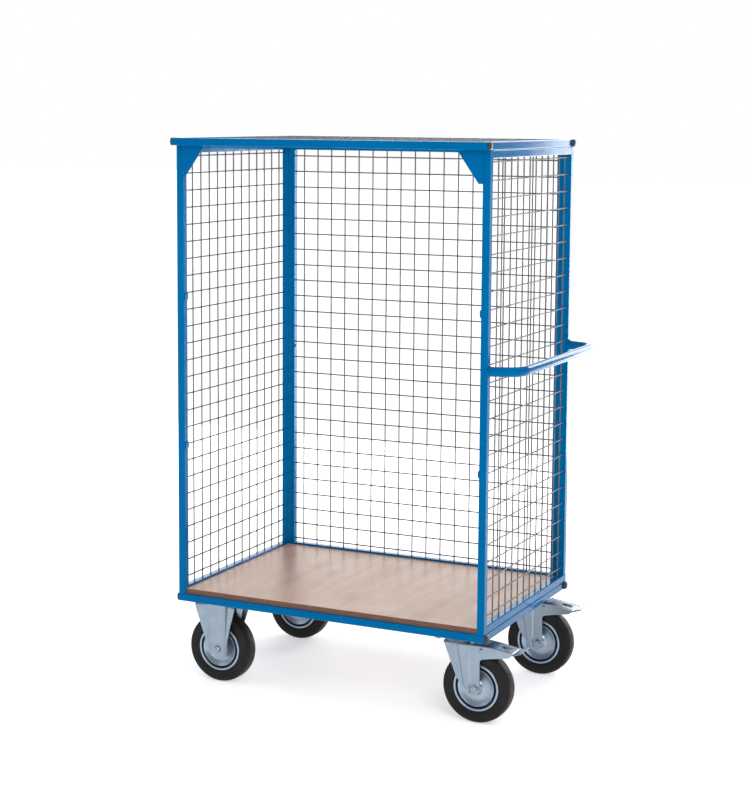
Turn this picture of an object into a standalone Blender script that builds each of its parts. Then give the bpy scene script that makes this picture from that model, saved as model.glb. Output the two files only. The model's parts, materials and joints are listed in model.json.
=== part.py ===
"""Roll cage container: a square-tube cage on a board deck, with two fixed and two braked swivel casters.

X runs along the open front with the push handle at +X, Y from the open front to the rear wall, Z up.
"""
import math

import bmesh
import bpy
from mathutils import Matrix, Vector

# ---- driving dimensions, metres
GAP = 0.0003                 # clearance between touching pieces
CAGE_LENGTH = 0.980          # over the corner posts
CAGE_DEPTH = 0.662           # front posts' front face to rear wall's rear face
CAGE_HEIGHT = 1.372          # base rail's underside to roof rail's top
BASE_BOTTOM = 0.251          # base rail's underside above the floor
ROOF_PROUD = 0.024           # roof's front rail in front of the posts

TUBE = 0.022                 # square tube, outside
TUBE_WALL = 0.0015
TUBE_CORNER = 0.002
CAP_HEAD = 0.009             # visible length of an end cap
CAP_PLUG = 0.020
CAP_ROUNDING = 0.0045
DECK_THICK = 0.016
DECK_SETBACK = 0.005
DECK_CHAMFER = 0.0006

WIRE_RADIUS = 0.0022         # ridge of the four-sided stand-in for a 4 mm wire
ROOF_MESH_DEPTH = 0.0048     # middle of the roof's mesh below the rails' top
FUSED_SHIFT = 0.0010         # outermost wires sit this much deeper, so the panel is one piece
WIRE_ROWS = 26
ROW_PITCH = 0.050
REAR_COLUMNS = 18
REAR_PITCH = 0.0487
SIDE_PITCH = 0.0479
LEFT_COLUMNS = 12
RIGHT_COLUMNS = 13
ROOF_ROWS = 13
REAR_TOP_ROW = 0.0194        # first row below the rear wall's top tube
SIDE_TOP_ROW = 0.0090        # first row below a side wall's top tube
MESH_DEPTH = 0.0108          # middle of a mesh panel from its wall's outer face

WHEEL_RADIUS = 0.1025
WHEEL_HALF = 0.025
RIM_RADIUS = 0.0685
LIP_INSIDE = 0.0620          # inner radius of the rim's rolled lip
LIP_FACE = 0.0225            # lip's side face from the wheel's middle plane
GROOVE_RADIUS = 0.0575       # deepest part of the groove inside the lip
GROOVE_FACE = 0.006
DISC_RADIUS = 0.0530
DISC_FACE = 0.015
HUB_FOOT = 0.027
HUB_RADIUS = 0.017
HUB_FACE = 0.027
TREAD_HALF = 0.014
SHOULDER_RADIUS = 0.099
SHOULDER_FACE = 0.0215
WALL_RADIUS = 0.090          # widest part of the tyre
WHEEL_INSET = 0.083          # wheel's middle plane from the front or rear face
FIXED_X = 0.103              # fixed axles from the cage's left face
SWIVEL_X = 0.877             # swivel axes from the cage's left face
TRAIL = 0.056                # swivel axis to wheel axle
PLATE_TOP = 0.247
PLATE_THICK = 0.004
PLATE_LENGTH = 0.135
PLATE_WIDTH = 0.110
PLATE_CORNER = 0.010
BOLT_SPAN_X = 0.105
BOLT_SPAN_Y = 0.080
BOLT_RADIUS = 0.005
HEX_RADIUS = 0.009
HEAD_HEIGHT = 0.006
NUT_HEIGHT = 0.008
THREAD_END = 0.004           # bolt's end above the beam's web
LEG_INSIDE = 0.0300          # inner face of a fork leg from the wheel's middle plane
LEG_THICK = 0.0035
AXLE_RADIUS = 0.006
AXLE_HEX = 0.0105
AXLE_HEX_HEIGHT = 0.0065
AXLE_END = 0.009             # axle's end beyond the leg's outer face
SPACER_RADIUS = 0.0095
BEAM_WIDTH = 0.140
BEAM_WALL = 0.003
CROWN_TOP = 0.230
LEG_TOP = 0.2292
RIB_HEIGHT = 0.0015
RACE_RADIUS = 0.031
RING_INSIDE = 0.032
RING_OUTSIDE = 0.0375
RING_TOP = 0.240
KINGPIN_RADIUS = 0.008
KINGPIN_LOW = 0.218
KINGPIN_NUT = 0.0125
KINGPIN_NUT_LOW = 0.2165
PIN_X = 0.076                # brake pedal's pin from the swivel axis
PIN_Z = 0.214
PIN_RADIUS = 0.004
PIN_HEAD = 0.0065
PIN_END = 0.006              # pin's end beyond a leg's outer face
PEDAL_SHEET = 0.0024
SHOE_HALF = 0.020
SLOT_HALF = 0.011

HANDLE_RADIUS = 0.0135
HANDLE_WALL = 0.002
HANDLE_HEIGHT = 1.005        # grip's centre line above the floor
HANDLE_REACH = 0.083         # grip's centre line beyond the cage's right face
HANDLE_STUB = 0.010
HANDLE_BEND = 0.050
HANDLE_SPLAY = math.radians(20.0)

GUSSET_ALONG = 0.071
GUSSET_DOWN = 0.090
GUSSET_TIP = 0.010
GUSSET_UP = 0.006            # part hidden behind the roof's front rail
GUSSET_SHEET = 0.002
GUSSET_FLANGE = 0.018
GUSSET_EDGE = 0.004          # upright end of the plate's long side
LUG_HEIGHTS = (0.721, 1.161)
LUG_REACH = 0.0045
LUG_WIDTH = 0.016
LUG_HALF = 0.012
LUG_CHAMFER = 0.004

# ---- positions that follow: the bounding box's bottom centre is the origin
LEFT = -(CAGE_LENGTH + HANDLE_REACH + HANDLE_RADIUS - CAP_HEAD) / 2
RIGHT = LEFT + CAGE_LENGTH
FRONT = -(CAGE_DEPTH - ROOF_PROUD + HANDLE_RADIUS - TUBE / 2) / 2
REAR = FRONT + CAGE_DEPTH
ROOF_FRONT = FRONT - ROOF_PROUD
CAGE_TOP = BASE_BOTTOM + CAGE_HEIGHT
BASE_TOP = BASE_BOTTOM + TUBE
WALL_BOTTOM = BASE_TOP + GAP
ROOF_BOTTOM = CAGE_TOP - TUBE
WALL_TOP = ROOF_BOTTOM - GAP
HALF = TUBE / 2
OPEN_LOW = WALL_BOTTOM + TUBE
OPEN_HIGH = WALL_TOP - TUBE
FAR_LEFT = LEFT + TUBE + GAP
FAR_RIGHT = RIGHT - TUBE - GAP
FAR_FRONT = FRONT + TUBE + GAP
FAR_REAR = REAR - TUBE - GAP
PLATE_UNDER = PLATE_TOP - PLATE_THICK
LEG_OUTSIDE = LEG_INSIDE + LEG_THICK

BLUE = ("blue_powder_coat", (0.004, 0.130, 0.390), 0.38, 0.0)
ZINC = ("zinc_plated_steel", (0.56, 0.60, 0.64), 0.34, 0.9)
WIRE_GREY = ("galvanised_wire", (0.30, 0.32, 0.34), 0.45, 0.8)
BOARD = ("laminated_board", (0.66, 0.54, 0.47), 0.32, 0.0)
RUBBER = ("black_rubber", (0.022, 0.020, 0.021), 0.68, 0.0)
PLASTIC = ("black_plastic", (0.012, 0.012, 0.014), 0.45, 0.0)

for old in list(bpy.data.objects):
    bpy.data.objects.remove(old, do_unlink=True)

cage = bpy.data.collections.new("roll_cage")
bpy.context.scene.collection.children.link(cage)
blanks = bpy.data.collections.new("blanks")
bpy.context.scene.collection.children.link(blanks)


# ---- building helpers

def material(name, colour, roughness, metallic):
    """Return the named material, made once."""
    found = bpy.data.materials.get(name)
    if found:
        return found
    made = bpy.data.materials.new(name)
    made.use_nodes = True
    shader = made.node_tree.nodes["Principled BSDF"]
    shader.inputs["Base Color"].default_value = (*colour, 1.0)
    shader.inputs["Roughness"].default_value = roughness
    shader.inputs["Metallic"].default_value = metallic
    return made


def place(name, mesh, finish, location=(0, 0, 0), rotation=(0, 0, 0)):
    """Put a mesh in the cage's collection as a named part with its finish."""
    if not mesh.materials:
        mesh.materials.append(material(*finish))
    part = bpy.data.objects.new(name, mesh)
    part.location = location
    part.rotation_euler = rotation
    cage.objects.link(part)
    return part


def baked(holder):
    """The clean mesh that an object's curve data or modifiers make; the object is removed."""
    bpy.context.view_layer.update()
    graph = bpy.context.evaluated_depsgraph_get()
    mesh = bpy.data.meshes.new_from_object(holder.evaluated_get(graph), depsgraph=graph)
    work = bmesh.new()
    work.from_mesh(mesh)
    bmesh.ops.remove_doubles(work, verts=work.verts, dist=0.00001)
    bmesh.ops.recalc_face_normals(work, faces=work.faces)
    work.to_mesh(mesh)
    work.free()
    mesh.shade_smooth()
    mesh.set_sharp_from_angle(angle=math.radians(35))
    bpy.data.objects.remove(holder, do_unlink=True)
    return mesh


def blank(data):
    """A helper object that never renders."""
    holder = bpy.data.objects.new("blank", data)
    holder.hide_render = True
    holder.display_type = "WIRE"
    blanks.objects.link(holder)
    return holder


def meshed(work):
    """Turn a finished bmesh into mesh data."""
    mesh = bpy.data.meshes.new("solid")
    work.to_mesh(mesh)
    work.free()
    return mesh


def sheet(outlines, thickness):
    """Flat outlines in the XY plane, holes included, given a thickness about Z = 0."""
    curve = bpy.data.curves.new("outline", "CURVE")
    curve.dimensions = "2D"
    curve.fill_mode = "BOTH"
    curve.extrude = thickness / 2
    for points in outlines:
        spline = curve.splines.new("POLY")
        spline.points.add(len(points) - 1)
        for point, (x, y) in zip(spline.points, points):
            point.co = (x, y, 0, 1)
        spline.use_cyclic_u = True
    return baked(blank(curve))


def upright(outlines, inner, outer):
    """Outlines of (x, z) points standing in the XZ plane, filling Y from inner to outer."""
    mesh = sheet(outlines, outer - inner)
    mesh.transform(Matrix.Translation((0, (inner + outer) / 2, 0)) @ Matrix.Rotation(math.pi / 2, 4, "X"))
    return mesh


def block(low, high):
    """A rectangular solid between two corners."""
    low = Vector(low)
    high = Vector(high)
    work = bmesh.new()
    bmesh.ops.create_cube(work, size=1.0)
    bmesh.ops.scale(work, vec=high - low, verts=work.verts)
    bmesh.ops.translate(work, vec=(low + high) / 2, verts=work.verts)
    return meshed(work)


def rod(radius, start, end, sides=12):
    """A straight prism between two points."""
    start = Vector(start)
    end = Vector(end)
    turn = (end - start).to_track_quat("Z", "Y").to_matrix().to_4x4()
    work = bmesh.new()
    bmesh.ops.create_cone(
        work, cap_ends=True, segments=sides, radius1=radius, radius2=radius,
        depth=(end - start).length, matrix=Matrix.Translation((start + end) / 2) @ turn)
    return meshed(work)


def group(meshes):
    """Several solids that stand clear of each other, in one mesh."""
    work = bmesh.new()
    for mesh in meshes:
        work.from_mesh(mesh)
    return meshed(work)


def fused(solids, cutters=()):
    """The union of overlapping solids, less the cutters."""
    body = blank(solids[0])
    others = []
    for number, mesh in enumerate((*solids[1:], *cutters), start=1):
        other = blank(mesh)
        step = body.modifiers.new("step", "BOOLEAN")
        step.solver = "EXACT"
        step.operation = "UNION" if number < len(solids) else "DIFFERENCE"
        step.object = other
        others.append(other)
    mesh = baked(body)
    for other in others:
        bpy.data.objects.remove(other, do_unlink=True)
    return mesh


def turned(profile, steps):
    """A solid of revolution about Z from a closed profile of (radius, height) points."""
    work = bmesh.new()
    ring = [work.verts.new((radius, 0, height)) for radius, height in profile]
    for first, second in zip(ring, ring[1:] + ring[:1]):
        work.edges.new((first, second))
    holder = blank(meshed(work))
    screw = holder.modifiers.new("turn", "SCREW")
    screw.axis = "Z"
    screw.angle = 2 * math.pi
    screw.steps = steps
    screw.render_steps = steps
    screw.use_merge_vertices = True
    screw.merge_threshold = 0.00001
    return baked(holder)


def circle(x, y, radius, count=10):
    """Points of a round hole."""
    angles = [2 * math.pi * step / count for step in range(count)]
    return [(x + radius * math.cos(angle), y + radius * math.sin(angle)) for angle in angles]


def rounded_rectangle(width, height, corner):
    """Outline of a rectangle about the origin with two-step rounded corners."""
    points = []
    for quarter, (side, rise) in enumerate(((1, 1), (-1, 1), (-1, -1), (1, -1))):
        x = side * (width / 2 - corner)
        y = rise * (height / 2 - corner)
        for step in range(3):
            angle = (quarter + step / 2) * math.pi / 2
            points.append((x + corner * math.cos(angle), y + corner * math.sin(angle)))
    return points


def evenly(count, pitch):
    """Positions of evenly pitched wires about zero."""
    return [(number - (count - 1) / 2) * pitch for number in range(count)]


# ---- square tubes

def tube_mesh(length):
    """A hollow square tube along Z, open at both ends."""
    bore = TUBE - 2 * TUBE_WALL
    corners = [(bore / 2, bore / 2), (-bore / 2, bore / 2), (-bore / 2, -bore / 2), (bore / 2, -bore / 2)]
    return sheet([rounded_rectangle(TUBE, TUBE, TUBE_CORNER), corners], length)


def rail_x(name, start, end, y, z):
    place(name, tube_mesh(end - start), BLUE, ((start + end) / 2, y, z), (0, math.pi / 2, 0))


def rail_y(name, start, end, x, z):
    place(name, tube_mesh(end - start), BLUE, (x, (start + end) / 2, z), (math.pi / 2, 0, 0))


def post(name, x, y, foot=WALL_BOTTOM):
    place(name, tube_mesh(WALL_TOP - foot), BLUE, (x, y, (WALL_TOP + foot) / 2))


def front_post(name, x, inward):
    """A front corner post with two small lugs welded to its inner side."""
    middle = (WALL_TOP + WALL_BOTTOM) / 2
    solids = [tube_mesh(WALL_TOP - WALL_BOTTOM)]
    for height in LUG_HEIGHTS:
        z = height - middle
        root = HALF - TUBE_WALL / 2
        outline = [(root, z - LUG_HALF), (HALF, z - LUG_HALF),
                   (HALF + LUG_REACH, z - LUG_HALF + LUG_CHAMFER),
                   (HALF + LUG_REACH, z + LUG_HALF - LUG_CHAMFER),
                   (HALF, z + LUG_HALF), (root, z + LUG_HALF)]
        solids.append(upright([outline], -LUG_WIDTH / 2, LUG_WIDTH / 2))
    turn = 0 if inward > 0 else math.pi
    place(name, fused(solids), BLUE, (x, FRONT + HALF, middle), (0, 0, turn))


rail_x("base_rail_front", LEFT, RIGHT, FRONT + HALF, BASE_BOTTOM + HALF)
rail_x("base_rail_rear", LEFT, RIGHT, REAR - HALF, BASE_BOTTOM + HALF)
rail_y("base_rail_left", FAR_FRONT, FAR_REAR, LEFT + HALF, BASE_BOTTOM + HALF)
rail_y("base_rail_right", FAR_FRONT, FAR_REAR, RIGHT - HALF, BASE_BOTTOM + HALF)

rail_x("roof_rail_front", LEFT, RIGHT, ROOF_FRONT + HALF, CAGE_TOP - HALF)
rail_x("roof_rail_rear", LEFT, RIGHT, REAR - HALF, CAGE_TOP - HALF)
rail_y("roof_rail_left", ROOF_FRONT + TUBE + GAP, FAR_REAR, LEFT + HALF, CAGE_TOP - HALF)
rail_y("roof_rail_right", ROOF_FRONT + TUBE + GAP, FAR_REAR, RIGHT - HALF, CAGE_TOP - HALF)

front_post("left_wall_front_post", LEFT + HALF, 1)
front_post("right_wall_front_post", RIGHT - HALF, -1)
for side, wall_x in (("left", LEFT + HALF), ("right", RIGHT - HALF)):
    post(f"{side}_wall_rear_post", wall_x, REAR - HALF, OPEN_LOW + GAP)
    rail_y(f"{side}_wall_top_tube", FAR_FRONT, FAR_REAR, wall_x, WALL_TOP - HALF)
    rail_y(f"{side}_wall_bottom_tube", FAR_FRONT, REAR, wall_x, WALL_BOTTOM + HALF)

post("rear_wall_left_post", FAR_LEFT + HALF, REAR - HALF)
post("rear_wall_right_post", FAR_RIGHT - HALF, REAR - HALF)
REAR_OPEN_LEFT = FAR_LEFT + TUBE + GAP
REAR_OPEN_RIGHT = FAR_RIGHT - TUBE - GAP
rail_x("rear_wall_top_tube", REAR_OPEN_LEFT, REAR_OPEN_RIGHT, REAR - HALF, WALL_TOP - HALF)
rail_x("rear_wall_bottom_tube", REAR_OPEN_LEFT, REAR_OPEN_RIGHT, REAR - HALF, WALL_BOTTOM + HALF)


# ---- plastic end caps of the four rails that run the full length

def cap_mesh():
    """A cap along +X: a domed square head on a plug that sits inside the tube."""
    work = bmesh.new()
    bmesh.ops.create_cube(work, size=1.0)
    bmesh.ops.scale(work, vec=(CAP_HEAD - GAP, TUBE, TUBE), verts=work.verts)
    bmesh.ops.translate(work, vec=((CAP_HEAD + GAP) / 2, 0, 0), verts=work.verts)
    edges = [edge for edge in work.edges if any(vert.co.x > CAP_HEAD / 2 for vert in edge.verts)]
    bmesh.ops.bevel(work, geom=edges, offset=CAP_ROUNDING, segments=2, affect="EDGES", profile=0.5)
    head = meshed(work)
    reach = TUBE / 2 - TUBE_WALL - GAP
    plug = block((-CAP_PLUG, -reach, -reach), (CAP_HEAD / 2, reach, reach))
    return fused([head, plug])


caps = cap_mesh()
base_level = ("base", BASE_BOTTOM + HALF, FRONT + HALF)
roof_level = ("roof", CAGE_TOP - HALF, ROOF_FRONT + HALF)
for level, cap_z, first_y in (base_level, roof_level):
    for row, cap_y in (("front", first_y), ("rear", REAR - HALF)):
        place(f"{level}_cap_{row}_left", caps, PLASTIC, (LEFT, cap_y, cap_z), (0, 0, math.pi))
        place(f"{level}_cap_{row}_right", caps, PLASTIC, (RIGHT, cap_y, cap_z))


# ---- deck board

board_work = bmesh.new()
bmesh.ops.create_cube(board_work, size=1.0)
board_low = Vector((FAR_LEFT, FRONT + DECK_SETBACK, WALL_BOTTOM))
board_high = Vector((FAR_RIGHT, FAR_REAR, WALL_BOTTOM + DECK_THICK))
bmesh.ops.scale(board_work, vec=board_high - board_low, verts=board_work.verts)
bmesh.ops.bevel(board_work, geom=list(board_work.edges), offset=DECK_CHAMFER, segments=1, affect="EDGES")
place("deck_board", meshed(board_work), BOARD, (board_low + board_high) / 2)


# ---- welded wire mesh panels

def mesh_panel(name, width, height, columns, rows, location, rotation):
    """Crossed wires in a frame opening: columns along local Y lie in front of rows along local X.

    Ordinary crossings keep a clearance. The outermost wires sit deeper and are fused with every
    wire they cross, which makes the panel one piece.
    """
    rest = WIRE_RADIUS + GAP / 2
    top = height / 2
    side = width / 2
    uprights = []
    for x in columns:
        z = rest - FUSED_SHIFT if x in (columns[0], columns[-1]) else rest
        uprights.append(rod(WIRE_RADIUS, (x, -top, z), (x, top, z), 4))
    levels = []
    for y in rows:
        z = FUSED_SHIFT - rest if y in (rows[0], rows[-1]) else -rest
        levels.append(rod(WIRE_RADIUS, (-side, y, z), (side, y, z), 4))
    place(name, fused([group(uprights), group(levels)]), WIRE_GREY, location, rotation)


OPEN_HEIGHT = OPEN_HIGH - OPEN_LOW - 2 * GAP
OPEN_MIDDLE = (OPEN_HIGH + OPEN_LOW) / 2
SIDE_OPEN = FAR_REAR - FAR_FRONT
SIDE_MIDDLE = (FAR_REAR + FAR_FRONT) / 2
rear_rows = [OPEN_HEIGHT / 2 - REAR_TOP_ROW - ROW_PITCH * number for number in range(WIRE_ROWS)]
side_rows = [OPEN_HEIGHT / 2 - SIDE_TOP_ROW - ROW_PITCH * number for number in range(WIRE_ROWS)]

mesh_panel(
    "rear_wall_mesh", REAR_OPEN_RIGHT - REAR_OPEN_LEFT - 2 * GAP, OPEN_HEIGHT,
    evenly(REAR_COLUMNS, REAR_PITCH), rear_rows,
    ((LEFT + RIGHT) / 2, REAR - MESH_DEPTH, OPEN_MIDDLE), (math.pi / 2, 0, 0))
mesh_panel(
    "left_wall_mesh", SIDE_OPEN, OPEN_HEIGHT, evenly(LEFT_COLUMNS, SIDE_PITCH), side_rows,
    (LEFT + MESH_DEPTH, SIDE_MIDDLE, OPEN_MIDDLE), (math.pi / 2, 0, math.pi / 2))
mesh_panel(
    "right_wall_mesh", SIDE_OPEN, OPEN_HEIGHT, evenly(RIGHT_COLUMNS, SIDE_PITCH), side_rows,
    (RIGHT - MESH_DEPTH, SIDE_MIDDLE, OPEN_MIDDLE), (math.pi / 2, 0, -math.pi / 2))
roof_near = ROOF_FRONT + TUBE + GAP
mesh_panel(
    "roof_mesh", FAR_RIGHT - FAR_LEFT, FAR_REAR - roof_near,
    evenly(REAR_COLUMNS, REAR_PITCH), evenly(ROOF_ROWS, SIDE_PITCH),
    ((LEFT + RIGHT) / 2, (roof_near + FAR_REAR) / 2, CAGE_TOP - ROOF_MESH_DEPTH), (0, 0, 0))


# ---- folded sheet gussets in the front opening's top corners

def gusset_mesh():
    """A triangular plate in the XZ plane with a flange bent back along the post's inner side."""
    plate = upright(
        [[(0, -GUSSET_DOWN), (GUSSET_TIP, -GUSSET_DOWN), (GUSSET_ALONG, -GUSSET_EDGE),
          (GUSSET_ALONG, GUSSET_UP), (0, GUSSET_UP)]], 0, GUSSET_SHEET)
    flange = block((0, 0, -GUSSET_DOWN), (GUSSET_SHEET, GUSSET_FLANGE, -2 * GAP))
    return fused([plate, flange])


gusset_y = FRONT - ROOF_PROUD + TUBE + GAP
place("gusset_left", gusset_mesh(), BLUE, (FAR_LEFT, gusset_y, ROOF_BOTTOM))
mirrored = gusset_mesh()
mirrored.transform(Matrix.Scale(-1, 4, (1, 0, 0)))
mirrored.flip_normals()
place("gusset_right", mirrored, BLUE, (FAR_RIGHT, gusset_y, ROOF_BOTTOM))


# ---- push handle: one bent round tube between the right wall's two posts

STUB_BEND = 0.003            # half length of the slight bend where a stub turns into its arm


def handle_path(overrun):
    """Centre line from the front post's outer face, round both bends, to the rear post's."""
    grip_x = RIGHT + HANDLE_REACH
    near_y = FRONT + HALF
    far_y = REAR - HALF
    slant = Vector((math.cos(HANDLE_SPLAY), math.sin(HANDLE_SPLAY)))
    corner_y = near_y + (HANDLE_REACH - HANDLE_STUB) * math.tan(HANDLE_SPLAY)
    sweep = math.pi / 2 - HANDLE_SPLAY
    tangent = HANDLE_BEND * math.tan(sweep / 2)
    bend_start = Vector((grip_x, corner_y)) - tangent * slant
    centre = bend_start + HANDLE_BEND * Vector((-slant.y, slant.x))
    half_path = [Vector((RIGHT + GAP - overrun, near_y)),
                 Vector((RIGHT + HANDLE_STUB - STUB_BEND, near_y)),
                 Vector((RIGHT + HANDLE_STUB + STUB_BEND, near_y + STUB_BEND * math.tan(HANDLE_SPLAY)))]
    for step in range(5):
        angle = HANDLE_SPLAY - math.pi / 2 + sweep * step / 4
        half_path.append(centre + HANDLE_BEND * Vector((math.cos(angle), math.sin(angle))))
    other = [Vector((point.x, near_y + far_y - point.y)) for point in reversed(half_path)]
    return half_path + other


def swept(points, radius):
    """A round bar along a level path."""
    curve = bpy.data.curves.new("path", "CURVE")
    curve.dimensions = "3D"
    curve.bevel_depth = radius
    curve.bevel_resolution = 2
    curve.use_fill_caps = True
    spline = curve.splines.new("POLY")
    spline.points.add(len(points) - 1)
    for point, place_xy in zip(spline.points, points):
        point.co = (place_xy.x, place_xy.y, 0, 1)
    return baked(blank(curve))


handle = fused(
    [swept(handle_path(0), HANDLE_RADIUS)],
    [swept(handle_path(HANDLE_STUB), HANDLE_RADIUS - HANDLE_WALL)])
place("push_handle", handle, BLUE, (0, 0, HANDLE_HEIGHT))


# ---- cross beams that carry the casters

def beam(name, x, ys):
    """A folded channel, open upward, drilled for the bolts of two caster plates."""
    low = PLATE_TOP + GAP
    side = BEAM_WIDTH / 2
    inner = side - BEAM_WALL
    channel = upright(
        [[(-side, BASE_TOP), (-side, low), (side, low), (side, BASE_TOP), (inner, BASE_TOP),
          (inner, low + BEAM_WALL), (-inner, low + BEAM_WALL), (-inner, BASE_TOP)]], FAR_FRONT, FAR_REAR)
    holes = group([
        rod(BOLT_RADIUS + GAP * 2, (dx, y + dy, low - BEAM_WALL), (dx, y + dy, low + 2 * BEAM_WALL), 8)
        for y in ys for dx, dy in bolt_places()])
    place(name, fused([channel], [holes]), BLUE, (x, 0, 0))


def bolt_places():
    """Bolt positions about a caster plate's middle."""
    return [(sx * BOLT_SPAN_X / 2, sy * BOLT_SPAN_Y / 2) for sx in (-1, 1) for sy in (-1, 1)]


def plate_solids():
    """A caster's top plate with its four bolts: hex heads below, shanks through the beam, nuts on top."""
    plate = sheet([rounded_rectangle(PLATE_LENGTH, PLATE_WIDTH, PLATE_CORNER)], PLATE_THICK)
    middle = PLATE_TOP - PLATE_THICK / 2
    plate.transform(Matrix.Translation((0, 0, middle)))
    web_top = PLATE_TOP + GAP + BEAM_WALL + GAP
    places = bolt_places()
    heads = group([rod(HEX_RADIUS, (x, y, PLATE_UNDER - HEAD_HEIGHT), (x, y, middle), 6) for x, y in places])
    shanks = group([rod(BOLT_RADIUS, (x, y, middle), (x, y, web_top + THREAD_END), 6) for x, y in places])
    nuts = group([rod(HEX_RADIUS, (x, y, web_top), (x, y, web_top + NUT_HEIGHT), 6) for x, y in places])
    return [plate, heads, shanks, nuts]


def both_legs(leg):
    """A leg on the +Y side and its mirror image."""
    other = leg.copy()
    other.transform(Matrix.Scale(-1, 4, (0, 1, 0)))
    other.flip_normals()
    return group([leg, other])


def cross_hole(x, z, radius):
    """A round cutter through both legs."""
    reach = LEG_OUTSIDE + LEG_INSIDE
    return rod(radius, (x, -reach, z), (x, reach, z), 10)


# ---- wheels

SEAT_RADIUS = RIM_RADIUS + 0.0009          # tyre's inner radius, clear of the rim
TYRE_HALF = [
    (SEAT_RADIUS, SHOULDER_FACE), (WALL_RADIUS, WHEEL_HALF), (SHOULDER_RADIUS, SHOULDER_FACE),
    (WHEEL_RADIUS, TREAD_HALF)]
RIM_HALF = [
    (AXLE_RADIUS + 2 * GAP, HUB_FACE), (HUB_RADIUS, HUB_FACE), (HUB_FOOT, DISC_FACE + GAP),
    (DISC_RADIUS, DISC_FACE), (GROOVE_RADIUS, GROOVE_FACE), (LIP_INSIDE, LIP_FACE), (RIM_RADIUS, LIP_FACE)]
ON_AXLE = (math.pi / 2, 0, 0)


def both_faces(half):
    """A closed profile from one side's points and their mirror image."""
    return half + [(radius, -height) for radius, height in reversed(half)]


tyre = turned(both_faces(TYRE_HALF), 28)
rim = turned(both_faces(RIM_HALF), 20)


def axle_mesh():
    """Axle bolt along Y with a hex head, a nut and a spacer on each side of the hub."""
    out = LEG_OUTSIDE + GAP
    shaft = rod(AXLE_RADIUS, (0, -out - AXLE_END, 0), (0, out + AXLE_END, 0), 8)
    hexes = []
    spacers = []
    for side in (-1, 1):
        hexes.append(rod(AXLE_HEX, (0, side * out, 0), (0, side * (out + AXLE_HEX_HEIGHT), 0), 6))
        spacers.append(
            rod(SPACER_RADIUS, (0, side * (HUB_FACE + GAP), 0), (0, side * (LEG_INSIDE - GAP), 0), 8))
    return fused([shaft, group(hexes), group(spacers)])


axle = axle_mesh()


def wheel(tag, x, y):
    place(f"wheel_axle_{tag}", axle, ZINC, (x, y, WHEEL_RADIUS))
    place(f"wheel_rim_{tag}", rim, ZINC, (x, y, WHEEL_RADIUS), ON_AXLE)
    place(f"wheel_tyre_{tag}", tyre, RUBBER, (x, y, WHEEL_RADIUS), ON_AXLE)


# ---- fixed casters

# height, half length of the leg, half length of its flat middle, outward lean of the flanks' edges
FIXED_LEVELS = (
    (0.0740, 0.0100, 0.0080, 0.0000), (0.0790, 0.0190, 0.0150, 0.0010), (0.0880, 0.0260, 0.0190, 0.0030),
    (0.1130, 0.0328, 0.0230, 0.0075), (0.1400, 0.0395, 0.0245, 0.0110), (0.1900, 0.0540, 0.0260, 0.0165),
    (0.2360, 0.0660, 0.0275, 0.0200))


def folded_leg(levels):
    """A leg on the +Y side: a flat middle between two flanks that lean outward."""
    work = bmesh.new()
    rings = []
    for z, half, middle, lean in levels:
        outer = [(-half, LEG_OUTSIDE + lean), (-middle, LEG_OUTSIDE),
                 (middle, LEG_OUTSIDE), (half, LEG_OUTSIDE + lean)]
        inner = [(x, y - LEG_THICK) for x, y in reversed(outer)]
        rings.append([work.verts.new((x, y, z)) for x, y in outer + inner])
    for below, above in zip(rings, rings[1:]):
        for step, (low, high) in enumerate(zip(below, above)):
            after = (step + 1) % len(below)
            work.faces.new((low, below[after], above[after], high))
    work.faces.new(rings[0][::-1])
    work.faces.new(rings[-1])
    bmesh.ops.recalc_face_normals(work, faces=work.faces)
    return meshed(work)


def fixed_fork():
    """Plate and bolts, and two folded legs joined to the plate at their middles."""
    top, _, middle, _ = FIXED_LEVELS[-1]
    half = middle - LEG_THICK
    plate_middle = PLATE_TOP - PLATE_THICK / 2
    neck = block((-half, LEG_INSIDE + GAP, top - LEG_THICK), (half, LEG_OUTSIDE - GAP, plate_middle))
    solids = [*plate_solids(), both_legs(folded_leg(FIXED_LEVELS)), both_legs(neck)]
    return fused(solids, [cross_hole(0, WHEEL_RADIUS, AXLE_RADIUS + GAP)])


# ---- braked swivel casters

# outline of a trailing leg from the swivel axis, with the wing that covers the brake pedal's side
SWIVEL_LEG = (
    (-0.0390, LEG_TOP), (-0.0340, 0.2150), (0.0000, 0.1300), (0.0190, 0.1050), (0.0360, 0.0880),
    (0.0500, 0.0810), (0.0620, 0.0830), (0.0700, 0.0930), (0.0710, 0.1800), (0.0760, 0.1880),
    (0.1000, 0.1935), (0.1500, 0.2020), (0.1620, 0.2090), (0.1680, 0.2155), (0.0850, 0.2285),
    (0.0820, LEG_TOP))
SWIVEL_RIB = ((0.0040, 0.2240), (0.0270, 0.1180), (0.0440, 0.1180), (0.0410, 0.2240))
PEDAL_CHEEK = (
    (0.0700, 0.2140), (0.0720, 0.2070), (0.0900, 0.2040), (0.1500, 0.2075), (0.1610, 0.2110),
    (0.0880, 0.2275), (0.0720, 0.2240))
PEDAL_COVER = (
    (0.0800, 0.2262), (0.1630, 0.2110), (0.1680, 0.2095), (0.1930, 0.2172), (0.1923, 0.2196),
    (0.1680, 0.2121), (0.1640, 0.2136), (0.0804, 0.2290))
CROWN_FRONT = 0.040
CROWN_REAR = 0.080
CROWN_HALF = 0.0325
SHOE = ((0.100, 0.2015), (0.122, 0.220))
SLOT = ((0.126, 0.205), (0.152, 0.235))


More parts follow.
